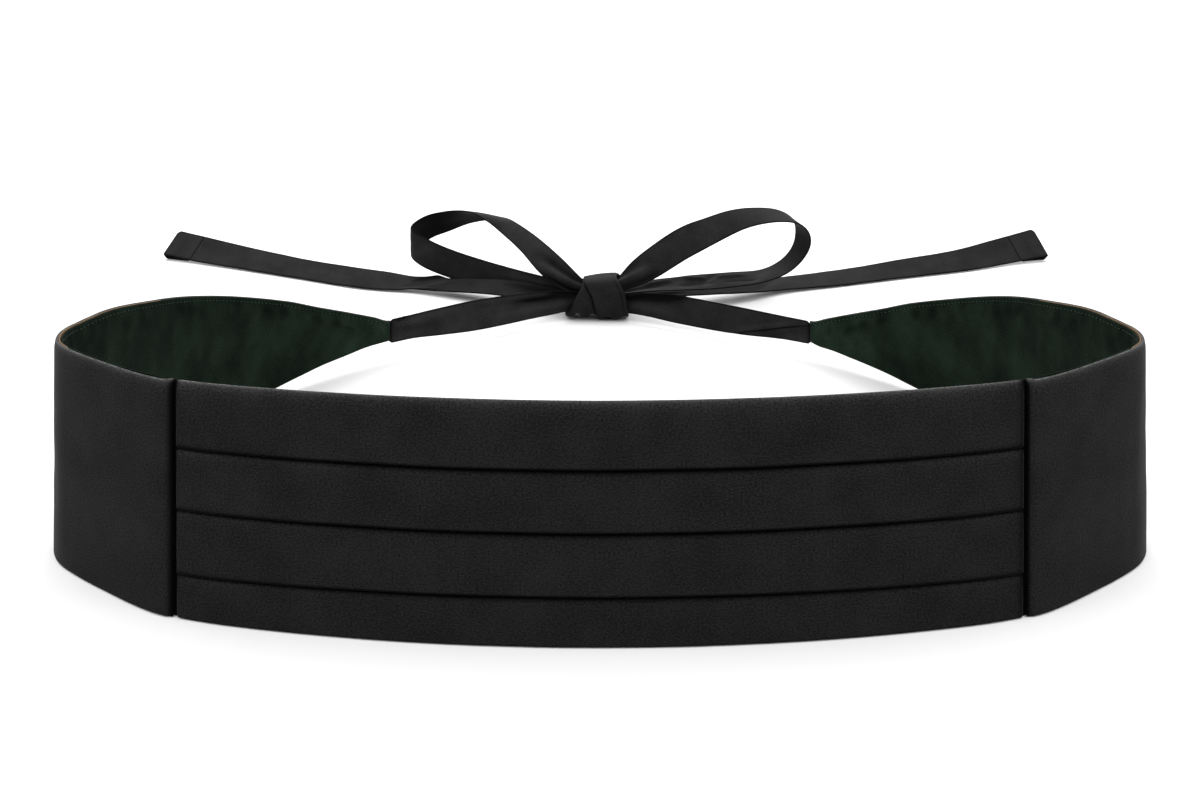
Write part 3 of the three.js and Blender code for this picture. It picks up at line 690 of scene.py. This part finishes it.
# Ripples of the lining: length along the hem, height, to the same, width, height inwards.
LINING_RIPPLES = {
    "left": [
        (238, 10, 240, 92, 2.6, 0.9), (247, 4, 246, 80, 2.4, 0.8), (256, 20, 255, 95, 2.4, 1),
        (265, 2, 264, 70, 2.8, 0.8), (274, 24, 275, 96, 2.6, 1), (284, 8, 282, 88, 2.8, 0.9),
        (296, 40, 294, 94, 3.2, 0.8), (308, 50, 306, 92, 3.4, 0.7), (326, 44, 322, 92, 4, 0.6),
        (345, 40, 342, 88, 4.5, 0.6), (366, 34, 362, 84, 4, 0.6), (388, 40, 382, 80, 4, 0.6),
        (410, 34, 404, 74, 4, 0.6), (438, 8, 424, 40, 5, 0.7), (456, 8, 444, 34, 4, 0.6),
        (480, 16, 566, 17, 3, 0.7), (500, 30, 568, 19, 2.6, 0.6), (470, 10, 560, 13, 2.6, 0.6),
    ],
    "right": [
        (236, 20, 238, 94, 2.6, 0.9), (246, 8, 245, 84, 2.4, 0.8), (258, 14, 257, 95, 2.4, 1),
        (267, 6, 266, 76, 2.8, 0.9), (277, 20, 278, 96, 2.6, 0.9), (288, 8, 286, 84, 2.8, 0.9),
        (301, 40, 299, 94, 3.2, 0.8), (314, 46, 312, 92, 3.4, 0.7), (332, 48, 328, 92, 4, 0.6),
        (352, 36, 350, 86, 4.5, 0.6), (372, 40, 368, 84, 4, 0.6), (394, 36, 390, 78, 4, 0.6),
        (420, 30, 412, 70, 4, 0.6), (444, 10, 432, 40, 5, 0.7), (464, 6, 450, 34, 4, 0.6),
        (484, 18, 566, 17, 3, 0.7), (496, 34, 568, 20, 2.6, 0.6), (476, 8, 560, 12, 2.6, 0.6),
    ],
    "front": [
        (-120, 6, -118, 60, 6, 0.6), (-84, 30, -80, 92, 7, 0.5), (-40, 8, -44, 70, 7, 0.6),
        (10, 34, 8, 94, 8, 0.5), (52, 6, 56, 66, 7, 0.6), (96, 30, 92, 94, 7, 0.5),
    ],
}
LINING_DROP = 0.5
LINING_HALF_THICK = 0.35
LINING_OUT, LINING_ROOM = -0.75, 0.9  # its middle's place, and what the interlining takes
LINING_RIM = np.array(  # shares of its height near the top edge
    [0.048, 0.038, 0.03, 0.024, 0.019, 0.015, 0.011, 0.007, 0.004, 0.002, 0.0006, 0])
PUCKER_PITCH = 11.5
STITCH_DROP = 2.3  # the understitching runs this far below the lining's top edge
STITCH_PITCH, STITCH_LONG, STITCH_WIDE, STITCH_PROUD = 3.1, 1.5, 0.5, 0.42


def lining_face(length, height, word):
    """How far the lining's middle lies outwards: its clearance less the ripples and puckers.

    Puckers, a sine squared, hang from the stitching, one for about every third stitch.
    """
    far = np.abs(length)
    room = smooth(INTERLINING_FROM - 14, INTERLINING_FROM - 2, far) * (
        1 - smooth(INTERLINING_TO + 2, INTERLINING_TO + 14, far))
    low, below = edge(1, length), edge(2, length) - LINING_DROP - height
    pucker = 0.5 + 0.5 * np.sin(FULL_TURN * far / PUCKER_PITCH + 1.3 * np.sin(far / 17.0))
    pucker = 0.6 * pucker ** 2 * bell(below, 6, 4.0)
    tuck_in = 0.3 * bell(below, STITCH_DROP, 0.7)
    along = length if word == "front" else far
    ripple = folds(along, height - low, LINING_RIPPLES[word])
    ripple = ripple * smooth(STITCH_DROP, 16, below) * smooth(0, 6, height - low)
    uneven = 0.3 + 0.3 * hand(along, height, 24, 71 if word == "left" else 72)
    raised = np.clip(ripple + pucker + uneven * smooth(2, 12, below), 0, 2.2)
    return LINING_OUT - LINING_ROOM * room - raised + tuck_in


def painted_lining_shading(far, height, below):
    """The lining's painted shading: sine waves of painted light and shade in place of its
    ripples' shading, painted shade in blotches under the stitching's puckers, and a painted dark
    line along the stitching's dip.

    It is painted lighter at the band's turns and towards the ties.
    """
    painted_pucker_shade = smooth(-0.1, 0.5, hand(far, 0.5 * height, 11, 75)) * bell(below, 7, 5.0)
    waves = 1 + 0.45 * hand(far, 0.5 * height, 34, 77) + 0.15 * hand(far, height, 12, 78)
    painted_shading = (1 - 0.5 * painted_pucker_shade) * waves * mix(0.55, 1, smooth(0.1, 0.8, np.abs(below - STITCH_DROP)))
    return painted_shading * (1 + 0.45 * smooth(490, 560, far)) * (1 + 0.35 * bell(far, 246, 14))


def lining(word, side, start, stop):
    """A light wall inside the shell, rippled where the band turns and towards the ties."""
    length = steps(start, stop, 1.5, 0.3)[:, None] * side
    low, top = edge(1, length) + LINING_DROP, edge(2, length) - LINING_DROP
    share = np.concatenate([steps(0, 0.94, 0.022, 0.004)[:-3], 1 - LINING_RIM])[None, :]
    height = mix(low, top, share)
    middle = wall_point(length, height, lining_face(length, height, word))
    from_end = np.minimum(side * length - start, stop - side * length)
    half = LINING_HALF_THICK * rim_round(np.minimum(share, 1 - share) * (top - low), 0.4)
    painted_shading = painted_lining_shading(np.abs(length), height, top - height)
    middle, half, length, height, painted_shading = sided(
        side, middle, half * rim_round(from_end, 0.4), length, height, painted_shading)
    part = cloth_part(middle, half, length + 300, height, painted_shading)
    return make_piece(f"lining_{word}", [part], lining_twill)


LININGS = (  # word, side, start, stop, and how far short of its stop the lining ends
    ("left", -1, LINING_SEAM, BAND_END, 1.1), ("right", 1, LINING_SEAM, BAND_END, 1.1),
    ("front", 1, -LINING_SEAM, LINING_SEAM, HALF_GAP),
)
linings = {word: lining(word, side, start + HALF_GAP, stop - short)
           for word, side, start, stop, short in LININGS}


GRAIN_SIDES, GRAIN_RINGS = 6, 3  # points round a stitch, and rings of them along it


def stitch_row(middles, along, outward):
    """Stitches as little grains: an ellipsoid of rings and two poles at each place."""
    turn = np.linspace(0, 2 * np.pi, GRAIN_SIDES, endpoint=False)
    level = np.array([-0.5, 0.0, 0.5]) * np.pi / 1.6
    a = np.concatenate([np.repeat(np.sin(level), GRAIN_SIDES), [-1, 1]]) * STITCH_LONG / 2
    b, c = (np.concatenate([np.outer(np.cos(level), wave).ravel(), [0, 0]]) * STITCH_WIDE / 2
            for wave in (np.cos(turn), np.sin(turn)))
    sideways = unit(np.cross(outward, along))
    outward = np.cross(along, sideways)
    points = (middles[:, None] + a[:, None] * along[:, None] + b[:, None] * sideways[:, None]
              + c[:, None] * outward[:, None])
    k = np.arange(GRAIN_SIDES)
    after, last = (k + 1) % GRAIN_SIDES, GRAIN_SIDES * (GRAIN_RINGS - 1)
    pole = np.full(GRAIN_SIDES, GRAIN_SIDES * GRAIN_RINGS)
    quads = np.concatenate([np.stack([k, after, after + GRAIN_SIDES, k + GRAIN_SIDES], 1) + ring
                            for ring in range(0, last, GRAIN_SIDES)])
    tips = np.concatenate([
        np.stack([pole, after, k], 1), np.stack([pole + 1, k + last, after + last], 1)])
    starts = np.arange(len(middles))[:, None, None] * len(a)
    coordinates = np.tile(np.stack([a, b], 1) / MM, (len(middles), 1))
    return points.reshape(-1, 3), [
        (quads[None] + starts).reshape(-1, 4), (tips[None] + starts).reshape(-1, 3)
    ], coordinates, 1.0


def understitching(word, side, start, stop):
    """A row of stitches along the lining, set into the little dip that they pull in it."""
    length = np.arange(start + 3, stop - 3, STITCH_PITCH) * side

    def on_face(at):
        height = edge(2, at) - LINING_DROP - STITCH_DROP
        return wall_point(at, height, lining_face(at, height, word) - STITCH_PROUD)

    middles, ahead = on_face(length), on_face(length + 0.5)
    out_x, out_y = plan(length)[2:]
    outward = -np.stack([out_x, out_y, 0 * out_x], -1)
    part = stitch_row(middles, unit(ahead - middles), outward)
    make_piece(f"understitching_{word}", [part], thread, made_of=None)


for word, side, start, stop, _ in LININGS:
    understitching(word, side, start, stop)

# ---- Ties, loops and tails ----

# Creases of each ribbon: millimetres along from its first row, millimetres across from its
# middle, to the same, width, height.
CREASES = {
    "tie_left": [
        (8.5, 5.8, 17.5, 6.6, 1.1, -1), (6.5, 4.2, 24.5, 3.4, 1.2, 0.8),
        (20.5, 3.6, 50.5, 7, 2.4, 0.6), (12.5, -1.5, 40.5, 0, 3.2, -0.45),
        (6.5, -4.5, 22.5, -3, 2.2, 0.6), (104.5, 4, 164.5, 2.5, 2.4, -1.6),
        (92.5, -3, 164.5, -1.5, 2, 1), (114.5, -7, 164.5, -5, 1.3, 0.5),
        (64.5, 6, 124.5, 4, 2, -0.35), (128.5, 7, 160.5, 4.5, 2.2, -1.6),
    ],
    "tie_right": [
        (5.5, 4.8, 58.5, -8, 0.75, -1.7), (5.5, 7, 58.5, -5.6, 1.5, 0.6),
        (10.5, -1, 42.5, -7.5, 2.6, -0.4), (6.5, -4, 20.5, -5, 2.4, 0.6),
        (108.5, 4, 164.5, 2, 2.2, -1.3), (104.5, -3, 164.5, -2, 2, 0.9),
        (100.5, 8, 140.5, 4.5, 2.4, -1.9),
    ],
    "bow_loop_left": [
        (6, -1, 44, 5, 1.8, 1.5), (6, 3, 36, 8, 1.7, -1.7), (2, 6, 30, 9, 1.1, 0.9),
        (4, -5, 46, -1, 2.6, -1.1), (150, -4, 200, 3, 3, 0.4), (205, -6, 222, 7, 3.5, 0.4),
        (292, 4, 352, 2, 2.2, 0.9), (286, -3, 352, -1.5, 2, -0.9),
    ],
    "bow_loop_right": [
        (3, 0.5, 34, 1, 2.2, 1.4), (2, 5, 38, 7.5, 2, -1.3), (2, -4.5, 30, -6, 2.5, -0.9),
        (205, -6, 225, 7, 3.5, 0.4), (300, -3, 280, -5, 2.6, -1), (276, 3, 250, 2, 2.2, 0.9),
        (268, -6, 254, -4, 2.4, -1.1), (256, 0, 244, -7, 1.8, 0.9), (246, -5, 222, -4, 2.4, -0.8),
        (240, 3, 215, 5, 1.6, 0.6), (326, 2, 288, 1, 2, 0.9),
    ],
    "tail_left": [
        (8, 2, 70, 4, 2.2, -1), (8, -3, 60, -3, 2, 0.8), (122, 7, 160, -7, 2.4, 0.9),
        (132, 9, 154, 3, 2, -1.2), (210, -3, 250, 5, 6, 0.3), (130, 9, 156, 6.5, 1.7, -1.3),
        (128, -7, 158, -9.5, 1.6, -0.9),
    ],
    "tail_right": [
        (8, 1, 60, 3, 1.8, 0.8), (8, -2, 60, -2, 1.6, -0.8), (120, -6, 150, 8, 3, 0.5),
        (250, -5, 290, 4, 6, 0.3),
    ],
}
SHADES = {  # how much light reaches each ribbon: millimetres along, tone
    "tie_left": [(0, 1), (34, 1.4), (104, 1.5), (129, 1), (146, 0.6)],
    "tie_right": [(0, 1), (64, 1.08), (124, 1), (146, 0.8)],
    "bow_loop_left": [(0, 0.8), (20, 0.9), (45, 1.1), (60, 1.45), (95, 1.42), (115, 1.15),
                      (150, 0.8), (205, 1), (290, 0.8), (322, 0.9), (346, 0.5)],
    "bow_loop_right": [(0, 0.9), (40, 1.15), (80, 1.34), (110, 1), (140, 0.85), (200, 0.85),
                       (230, 0.8), (300, 0.75), (328, 0.6)],
    "tail_left": [(0, 0.25), (32, 0.3), (75, 1.04), (110, 1), (200, 1.2)],
    "tail_right": [(0, 0.15), (112, 0.2), (152, 1.05), (200, 1.15)],
}
RIBBON_THICK, HEM_THICK = 1.2, 1.0
IN_BAND = 4.2  # how far a tie's end is held between the shell and the lining
HELD_IN = 4.6  # and how much narrower it is there
SEAM_IN, SEAM_DIP, SEAM_WIDE = 1.5, 0.16, 0.35  # the edge stitching, and the dip it makes
HEM_LONG, HEM_DIP, HEM_WIDE = 27, 0.34, 0.6  # the stitching across a tail, and its dip
HEM_UNDER = RIBBON_THICK / 2 + 0.6  # from a tail's middle down to its turned-up end's
HEM_OPEN = 4.4  # how much further the turned-up end's near edge hangs
HEM_CLOSES = 1.2  # in this length at its own end it closes on the tail
HEM_ROWS = 2.4  # it begins this many of the table's rows before the last
CORNER = 3.6  # a free end's corners: the mean of the near and the far one
NEAR_CORNER, HEM_NEAR_CORNER = 0.5, 0.15  # the near one's share of it
FLOOR_CLEAR = 0.3


def read_rows(rows, at):
    """Catmull-Rom through the rows, read at row numbers with fractions."""
    i = np.clip(np.floor(at).astype(int), 0, len(rows) - 2)
    t = (at - i)[:, None]
    p, q, r, s = (rows[np.clip(i + k, 0, len(rows) - 1)] for k in (-1, 0, 1, 2))
    return 0.5 * (2 * q + (r - p) * t + (2 * p - 5 * q + 4 * r - s) * t ** 2
                  + (3 * q - p - 3 * r + s) * t ** 3)


TIP_STEPS = np.array([3.4, 2.8, 2.2, 1.7, 1.2, 0.8, 0.5, 0.25, 0.06, 0])
SOFTEN, SOFTEN_REACH = 3.5, 10  # the bell over which a ribbon's rows are averaged


def ribbon_grid(rows, start, has_hem):
    """Rows along the ribbon, closer at its ends and its hem's stitching, and its directions.

    They are read from the table's rows averaged over a bell, so that no bend is sudden.
    """
    fine = np.linspace(start, len(rows) - 1, 1200)
    walked = np.concatenate([[0], np.cumsum(np.linalg.norm(
        np.diff(read_rows(rows, fine)[:, :3], axis=0), axis=1))])
    wanted = np.concatenate([steps(0, walked[-1] - 4, 1.3, 0.6)[:-3], walked[-1] - TIP_STEPS])
    if has_hem:
        hem_line = walked[-1] - HEM_LONG
        apart = wanted[np.abs(wanted - hem_line) > 1.8]
        wanted = np.sort(np.concatenate([apart, hem_line + np.linspace(-1.5, 1.5, 11)]))
    even = np.linspace(0, walked[-1], int(walked[-1]) + 1)
    read = read_rows(rows, np.interp(even, walked, fine))
    reach = np.arange(-SOFTEN_REACH, SOFTEN_REACH + 1)
    share = np.exp(-(reach / SOFTEN) ** 2 / 2)
    share = share / share.sum()
    padded = np.concatenate([
        2 * read[:1] - read[SOFTEN_REACH:0:-1], read,
        2 * read[-1:] - read[-2:-SOFTEN_REACH - 2:-1]])
    softened = np.stack([np.convolve(column, share, "valid") for column in padded.T], 1)
    row = np.stack([np.interp(wanted, even, column) for column in softened.T], 1)
    along = unit(np.gradient(row[:, :3], wanted, axis=0))
    across = row[:, 3:6] - along * (row[:, 3:6] * along).sum(1, keepdims=True)
    return row, along, unit(across), wanted


def painted_ribbon_shading(name, walked, in_from_edge, creased, from_centre):
    """A ribbon's painted light and shade: shade in troughs, along its edges and towards the knot,
    light on ridges.
    """
    painted_shading = np.clip(1 + 0.65 * np.minimum(creased, 0) + 0.5 * np.maximum(creased, 0), 0.06, 1.8)
    painted_shading = painted_shading * mix(0.12, 1, smooth(0.2, 1.3, in_from_edge))
    painted_shading = painted_shading * np.interp(walked, *zip(*SHADES[name]))
    return painted_shading * mix(0.5, 1, smooth(18, 32, from_centre))


def ribbon(name, rows, back=1.0):
    """A pressed tube of cloth: a strip, cupped by a parabola, with a rounded rim.

    Beside one edge runs the dip of its edge stitching, and a tail has one across it too,
    where its end is turned up. The turned-up end, a piece of its own, closes on the tail at
    its end, and its near edge hangs open.
    """
    kind, word = name.rsplit("_", 1)
    turned_up, is_tie, is_tail = kind == "tail_hem", kind == "tie", kind == "tail"
    thick, near_corner, start = RIBBON_THICK, NEAR_CORNER, 0
    if turned_up:
        thick, near_corner, start = HEM_THICK, HEM_NEAR_CORNER, len(rows) - HEM_ROWS
    row, along, across, walked = ribbon_grid(rows, start, is_tail)
    run, from_end = walked[:, None], (walked[-1] - walked)[:, None]
    share = steps(-0.5, 0.5, 0.055, 0.028)[None, :]
    width, cup = row[:, 6:7], row[:, 7:8]
    inset = CORNER * (1 - rim_round(from_end, CORNER)) if is_tail or turned_up else 0
    if is_tie:
        width = width - HELD_IN * (1 - rim_round(run - IN_BAND, 2.2))
    v = share * (width - 2 * inset) - (1 - near_corner) * inset
    lift = cup * (1 - 4 * share ** 2)
    if turned_up:
        fallen = HEM_UNDER + HEM_OPEN * (0.5 - share) * (run / walked[-1]) ** 1.2
        lift = lift + fallen * rim_round(from_end, HEM_CLOSES)
    creased = folds(run, v, CREASES.get(name, ()))
    lift = lift + creased + 0.18 * hand(run, v, 26, len(name))
    face = np.cross(along, across)
    middle = row[:, None, :3] + across[:, None] * v[..., None] + face[:, None] * lift[..., None]
    middle[..., 2] = np.maximum(middle[..., 2], FLOOR_CLEAR)
    from_edge, from_near = (0.5 - np.abs(share)) * width, (0.5 + share) * width
    half = thick / 2 * (0.8 + 0.3 * np.cos(np.pi * share)) * rim_round(from_edge, 0.55)
    half = half * rim_round(np.minimum(run, from_end), 0.6)
    seam = bell(width * (0.5 - share), SEAM_IN, SEAM_WIDE)
    half = half - SEAM_DIP * seam * (half > 0.2)
    if turned_up:  # under the tail only its near rim sees light
        painted_shading = mix(0.6, 0.1, smooth(0.6, 1.6, from_near)) * np.ones_like(v)
    else:
        painted_shading = painted_ribbon_shading(name, run, from_edge, creased, np.abs(row[:, :1]))
    if is_tail:
        hem_line = bell(from_end, HEM_LONG, HEM_WIDE)
        half = half - HEM_DIP * hem_line * (half > 0.2)
        in_hem = 1 - smooth(HEM_LONG - 1, HEM_LONG, from_end)
        # Painted shade in the dip of the stitching across the tail, and along its near edge where
        # the turned-up end hangs open.
        painted_shading = painted_shading * (1 - 0.92 * hem_line)
        painted_shading = painted_shading * (1 - 0.85 * in_hem * (1 - smooth(0.3, 1.0, from_near)))
    if is_tie:
        # Painted shade where the tie's end goes into the band.
        painted_shading = painted_shading * mix(0.04, 1, smooth(IN_BAND + 0.4, IN_BAND + 2.2, run))
    if word == "right":
        middle = middle * np.array([-1, 1, 1])
    part = cloth_part(middle, half, run + 20 * start, v, painted_shading, back=back)
    return make_piece(name, [part], tie_cloth), walked[-1] / MM


# The left loop's back skin gets painted shade, 0.35 of the front's, on the inside that shows.
ribbons = {
    name: ribbon(name, rows, back)  # back darkens the inside that shows in the left loop
    for name, rows, back in (
        ("tie_left", TIE_LEFT, 1), ("tie_right", TIE_RIGHT, 1),
        ("bow_loop_left", LOOP_LEFT, 0.35), ("bow_loop_right", LOOP_RIGHT, 1),
        ("tail_left", TAIL_LEFT, 1), ("tail_right", TAIL_RIGHT, 1),
    )
}
hems = {word: ribbon(f"tail_hem_{word}", rows)[0]
        for word, rows in (("left", TAIL_LEFT), ("right", TAIL_RIGHT))}

# ---- The knot ----

LUMP, LUMP_WAVE, LUMP_FROM = 1.1, 0.58, 11  # the knot's uneven foot: a cosine along x
KNOT_FLOOR_CLEAR = 0.4
CORE_HALF_LONG, CORE_IN = 8.5, 0.8


def squarish(wave):
    """A sine or cosine taken to a power that squares the ellipse it draws, its sign kept."""
    return np.sign(wave) * np.abs(wave) ** (2 / KNOT_SQUARENESS)


def through(top, middle, bottom, fall):
    """The quadratic that has these values where fall is 0, a half and 1."""
    slope, bend = 4 * middle - 3 * top - bottom, 2 * (top + bottom - 2 * middle)
    return top + slope * fall + bend * fall ** 2


def knot_wrap(name, left, right, lift, bulge, tuck, seed, creases, shade=None):
    """A band round the ties: a rounded box section, its edges' x quadratic in their fall.

    It bulges by a parabola across its width, its top tilts and its foot is a lumpy cosine.
    """
    angle = np.linspace(0, 2 * np.pi, 180, endpoint=False)[:, None]
    degrees = np.degrees(angle)
    share = steps(-1, 1, 0.08, 0.07)[None, :]
    c, s = np.cos(angle), np.sin(angle)
    fall = (1 - s) / 2
    left_x, right_x = through(*left, fall), through(*right, fall)
    middle_x, half_width = (left_x + right_x) / 2, (right_x - left_x) / 2
    from_right, from_edge = (1 - share) * half_width, (1 - np.abs(share)) * half_width
    puffed = lift + RIBBON_THICK / 2 + bulge * (1 - share ** 2) * (0.6 + 0.4 * np.abs(c))
    puffed = puffed + folds(degrees, share * half_width, creases)
    puffed = puffed + 0.12 * hand(degrees, share * 40, 60, seed)
    puffed = puffed - tuck * (1 - rim_round(from_right, 2.5))
    x = middle_x + share * half_width
    y = KNOT_Y + (KNOT_HALF_DEPTH + puffed) * squarish(c)
    lumps = LUMP * np.cos((x - LUMP_FROM) * LUMP_WAVE) * smooth(0.4, 0.95, -s)
    tilt = 0.12 * x * smooth(-0.3, 0.8, s)
    z = KNOT_Z + (KNOT_HALF_HEIGHT + puffed) * squarish(s) + tilt - lumps
    middle = np.stack([x, y, np.maximum(z, KNOT_FLOOR_CLEAR)], -1)
    half = RIBBON_THICK / 2 * rim_round(from_edge, 0.6) * np.ones_like(angle)
    half = half - 0.25 * bell(from_right, KNOT_SEAM_IN, 0.4) * (half > 0.2)
    # Painted shade along the wrap's edges, over its top and in the dip of its edge stitching; 0.85
    # takes back, on the knot, the painted lift of the tie cloth's colour.
    painted_shading = mix(0.4, 1, smooth(0.1, 1.0, from_edge)) * (1 - 0.45 * smooth(0.4, 0.95, s))
    painted_shading = painted_shading * (1 - 0.7 * bell(from_right, KNOT_SEAM_IN, 0.5))
    if shade:  # under the edge of the wrap above it
        painted_shading = painted_shading * mix(0.1, 1, smooth(0.2, 2.6, through(*shade, fall) - x))
    part = cloth_part(middle, half, degrees * 0.25, share * half_width, 0.85 * painted_shading, closed=True)
    return make_piece(name, [part], tie_cloth)


def knot_core():
    """The ties' crossing inside the wraps: their section, its size the root of 1 - share^4."""
    angle = np.linspace(0, 2 * np.pi, 90, endpoint=False)[:, None]
    share = steps(-1, 1, 0.1, 0.03)[None, :]
    size = np.sqrt(np.maximum(1 - share ** 4, 0.001))
    middle = np.stack(np.broadcast_arrays(
        CORE_HALF_LONG * share - 0.5,
        KNOT_Y + (KNOT_HALF_DEPTH - CORE_IN) * size * squarish(np.cos(angle)),
        KNOT_Z + (KNOT_HALF_HEIGHT - CORE_IN) * size * squarish(np.sin(angle))), -1)
    # Painted shade: the core, inside the knot, is 0.35 as light.
    part = cloth_part(middle, 0.3, 14 * angle, 10 * share, 0.35, closed=True)
    return make_piece("knot_core", [part], tie_cloth, made_of=None)


core = knot_core()
# Each wrap's edges: x at the top, the middle and the bottom.
UNDER_LEFT, UNDER_RIGHT = (-12, -18.5, -24.5), (8, 2, 0)
OVER_LEFT, OVER_RIGHT = (-11.6, -4.4, -2.2), (11.4, 18.0, 19.8)
knot_wraps = {
    "knot_under_wrap": knot_wrap(
        "knot_under_wrap", UNDER_LEFT, UNDER_RIGHT, lift=0.0, bulge=0.4, tuck=0.0, seed=91,
        creases=[(190, -9, 250, -3, 2.0, -0.7), (165, 0, 215, -5, 2.4, 0.5)], shade=OVER_LEFT),
    "knot_over_wrap": knot_wrap(
        "knot_over_wrap", OVER_LEFT, OVER_RIGHT, lift=1.5, bulge=0.7, tuck=1.3, seed=92,
        creases=[(172, -12, 158, 12, 9, 0.7), (200, -12, 215, 12, 8, -0.5)]),
}

# ---- What the cloth rests on ----

# The floor: a pale matt sweep, so wide that its edge never shows.
floor_paper, paper = finish("pale_studio_paper")
fill(paper, Base_Color=linear("#e5e5e5"), Roughness=0.95, Specular_IOR_Level=0.0)
FLOOR_REACH, FLOOR_BELOW = 60.0, 0.0004  # metres; just below, so that the two never flicker
corners = [(x * FLOOR_REACH, y * FLOOR_REACH, 0) for x, y in ((-1, -1), (1, -1), (1, 1), (-1, 1))]
floor_mesh = bpy.data.meshes.new("floor")
floor_mesh.from_pydata(corners, [], [(0, 1, 2, 3)])
floor_mesh.materials.append(floor_paper)
floor = linked("floor", floor_mesh)
floor.location.z = cad_low[2] - FLOOR_BELOW

for name, (piece, length) in ribbons.items():
    kind, word = name.rsplit("_", 1)

# ---- Light and camera ----

scene = bpy.context.scene
scene.view_settings.view_transform = "Standard"
world = bpy.data.worlds.new("studio")
world.use_nodes = True
# What the studio's white walls send back.
fill(world.node_tree.nodes["Background"], Color=(1, 1, 1, 1), Strength=0.45)
scene.world = world


def softbox(name, location, power, aim_y=0.0, aim_z=0.05):
    """A light one metre square that points at a place on the object's midline."""
    light = bpy.data.lights.new(name, "AREA")
    light.size, light.energy = 1.0, power
    box = linked(name, light)
    box.location = location
    aim = np.array([0, aim_y, aim_z]) - np.array(location)
    box.rotation_euler = (math.acos(-aim[2] / np.linalg.norm(aim)), 0,
                          math.atan2(aim[1], aim[0]) - math.pi / 2)


# A wide diffuser overhead gives nearly all the light; the softboxes, whose places are in
# metres and powers in watts, lift the sides and the back.
ceiling = bpy.data.lights.new("ceiling_light", "SUN")
ceiling.energy, ceiling.angle = 3.6, math.radians(110)
linked("ceiling_light", ceiling)
softbox("left_softbox", (-1.6, -0.5, 0.9), 5)
softbox("right_softbox", (1.6, -0.5, 0.9), 4)
softbox("back_softbox", (0, 1.4, 0.9), 12, 0.45)

LENS, CAMERA_AT, CAMERA_DOWN = 40, [0, -458, 280], 20.9  # millimetres; degrees below level
camera = linked("camera", bpy.data.cameras.new("camera"))
camera.data.lens = LENS
camera.location = place(CAMERA_AT)
camera.rotation_euler = (math.radians(90 - CAMERA_DOWN), 0, 0)
scene.camera = camera
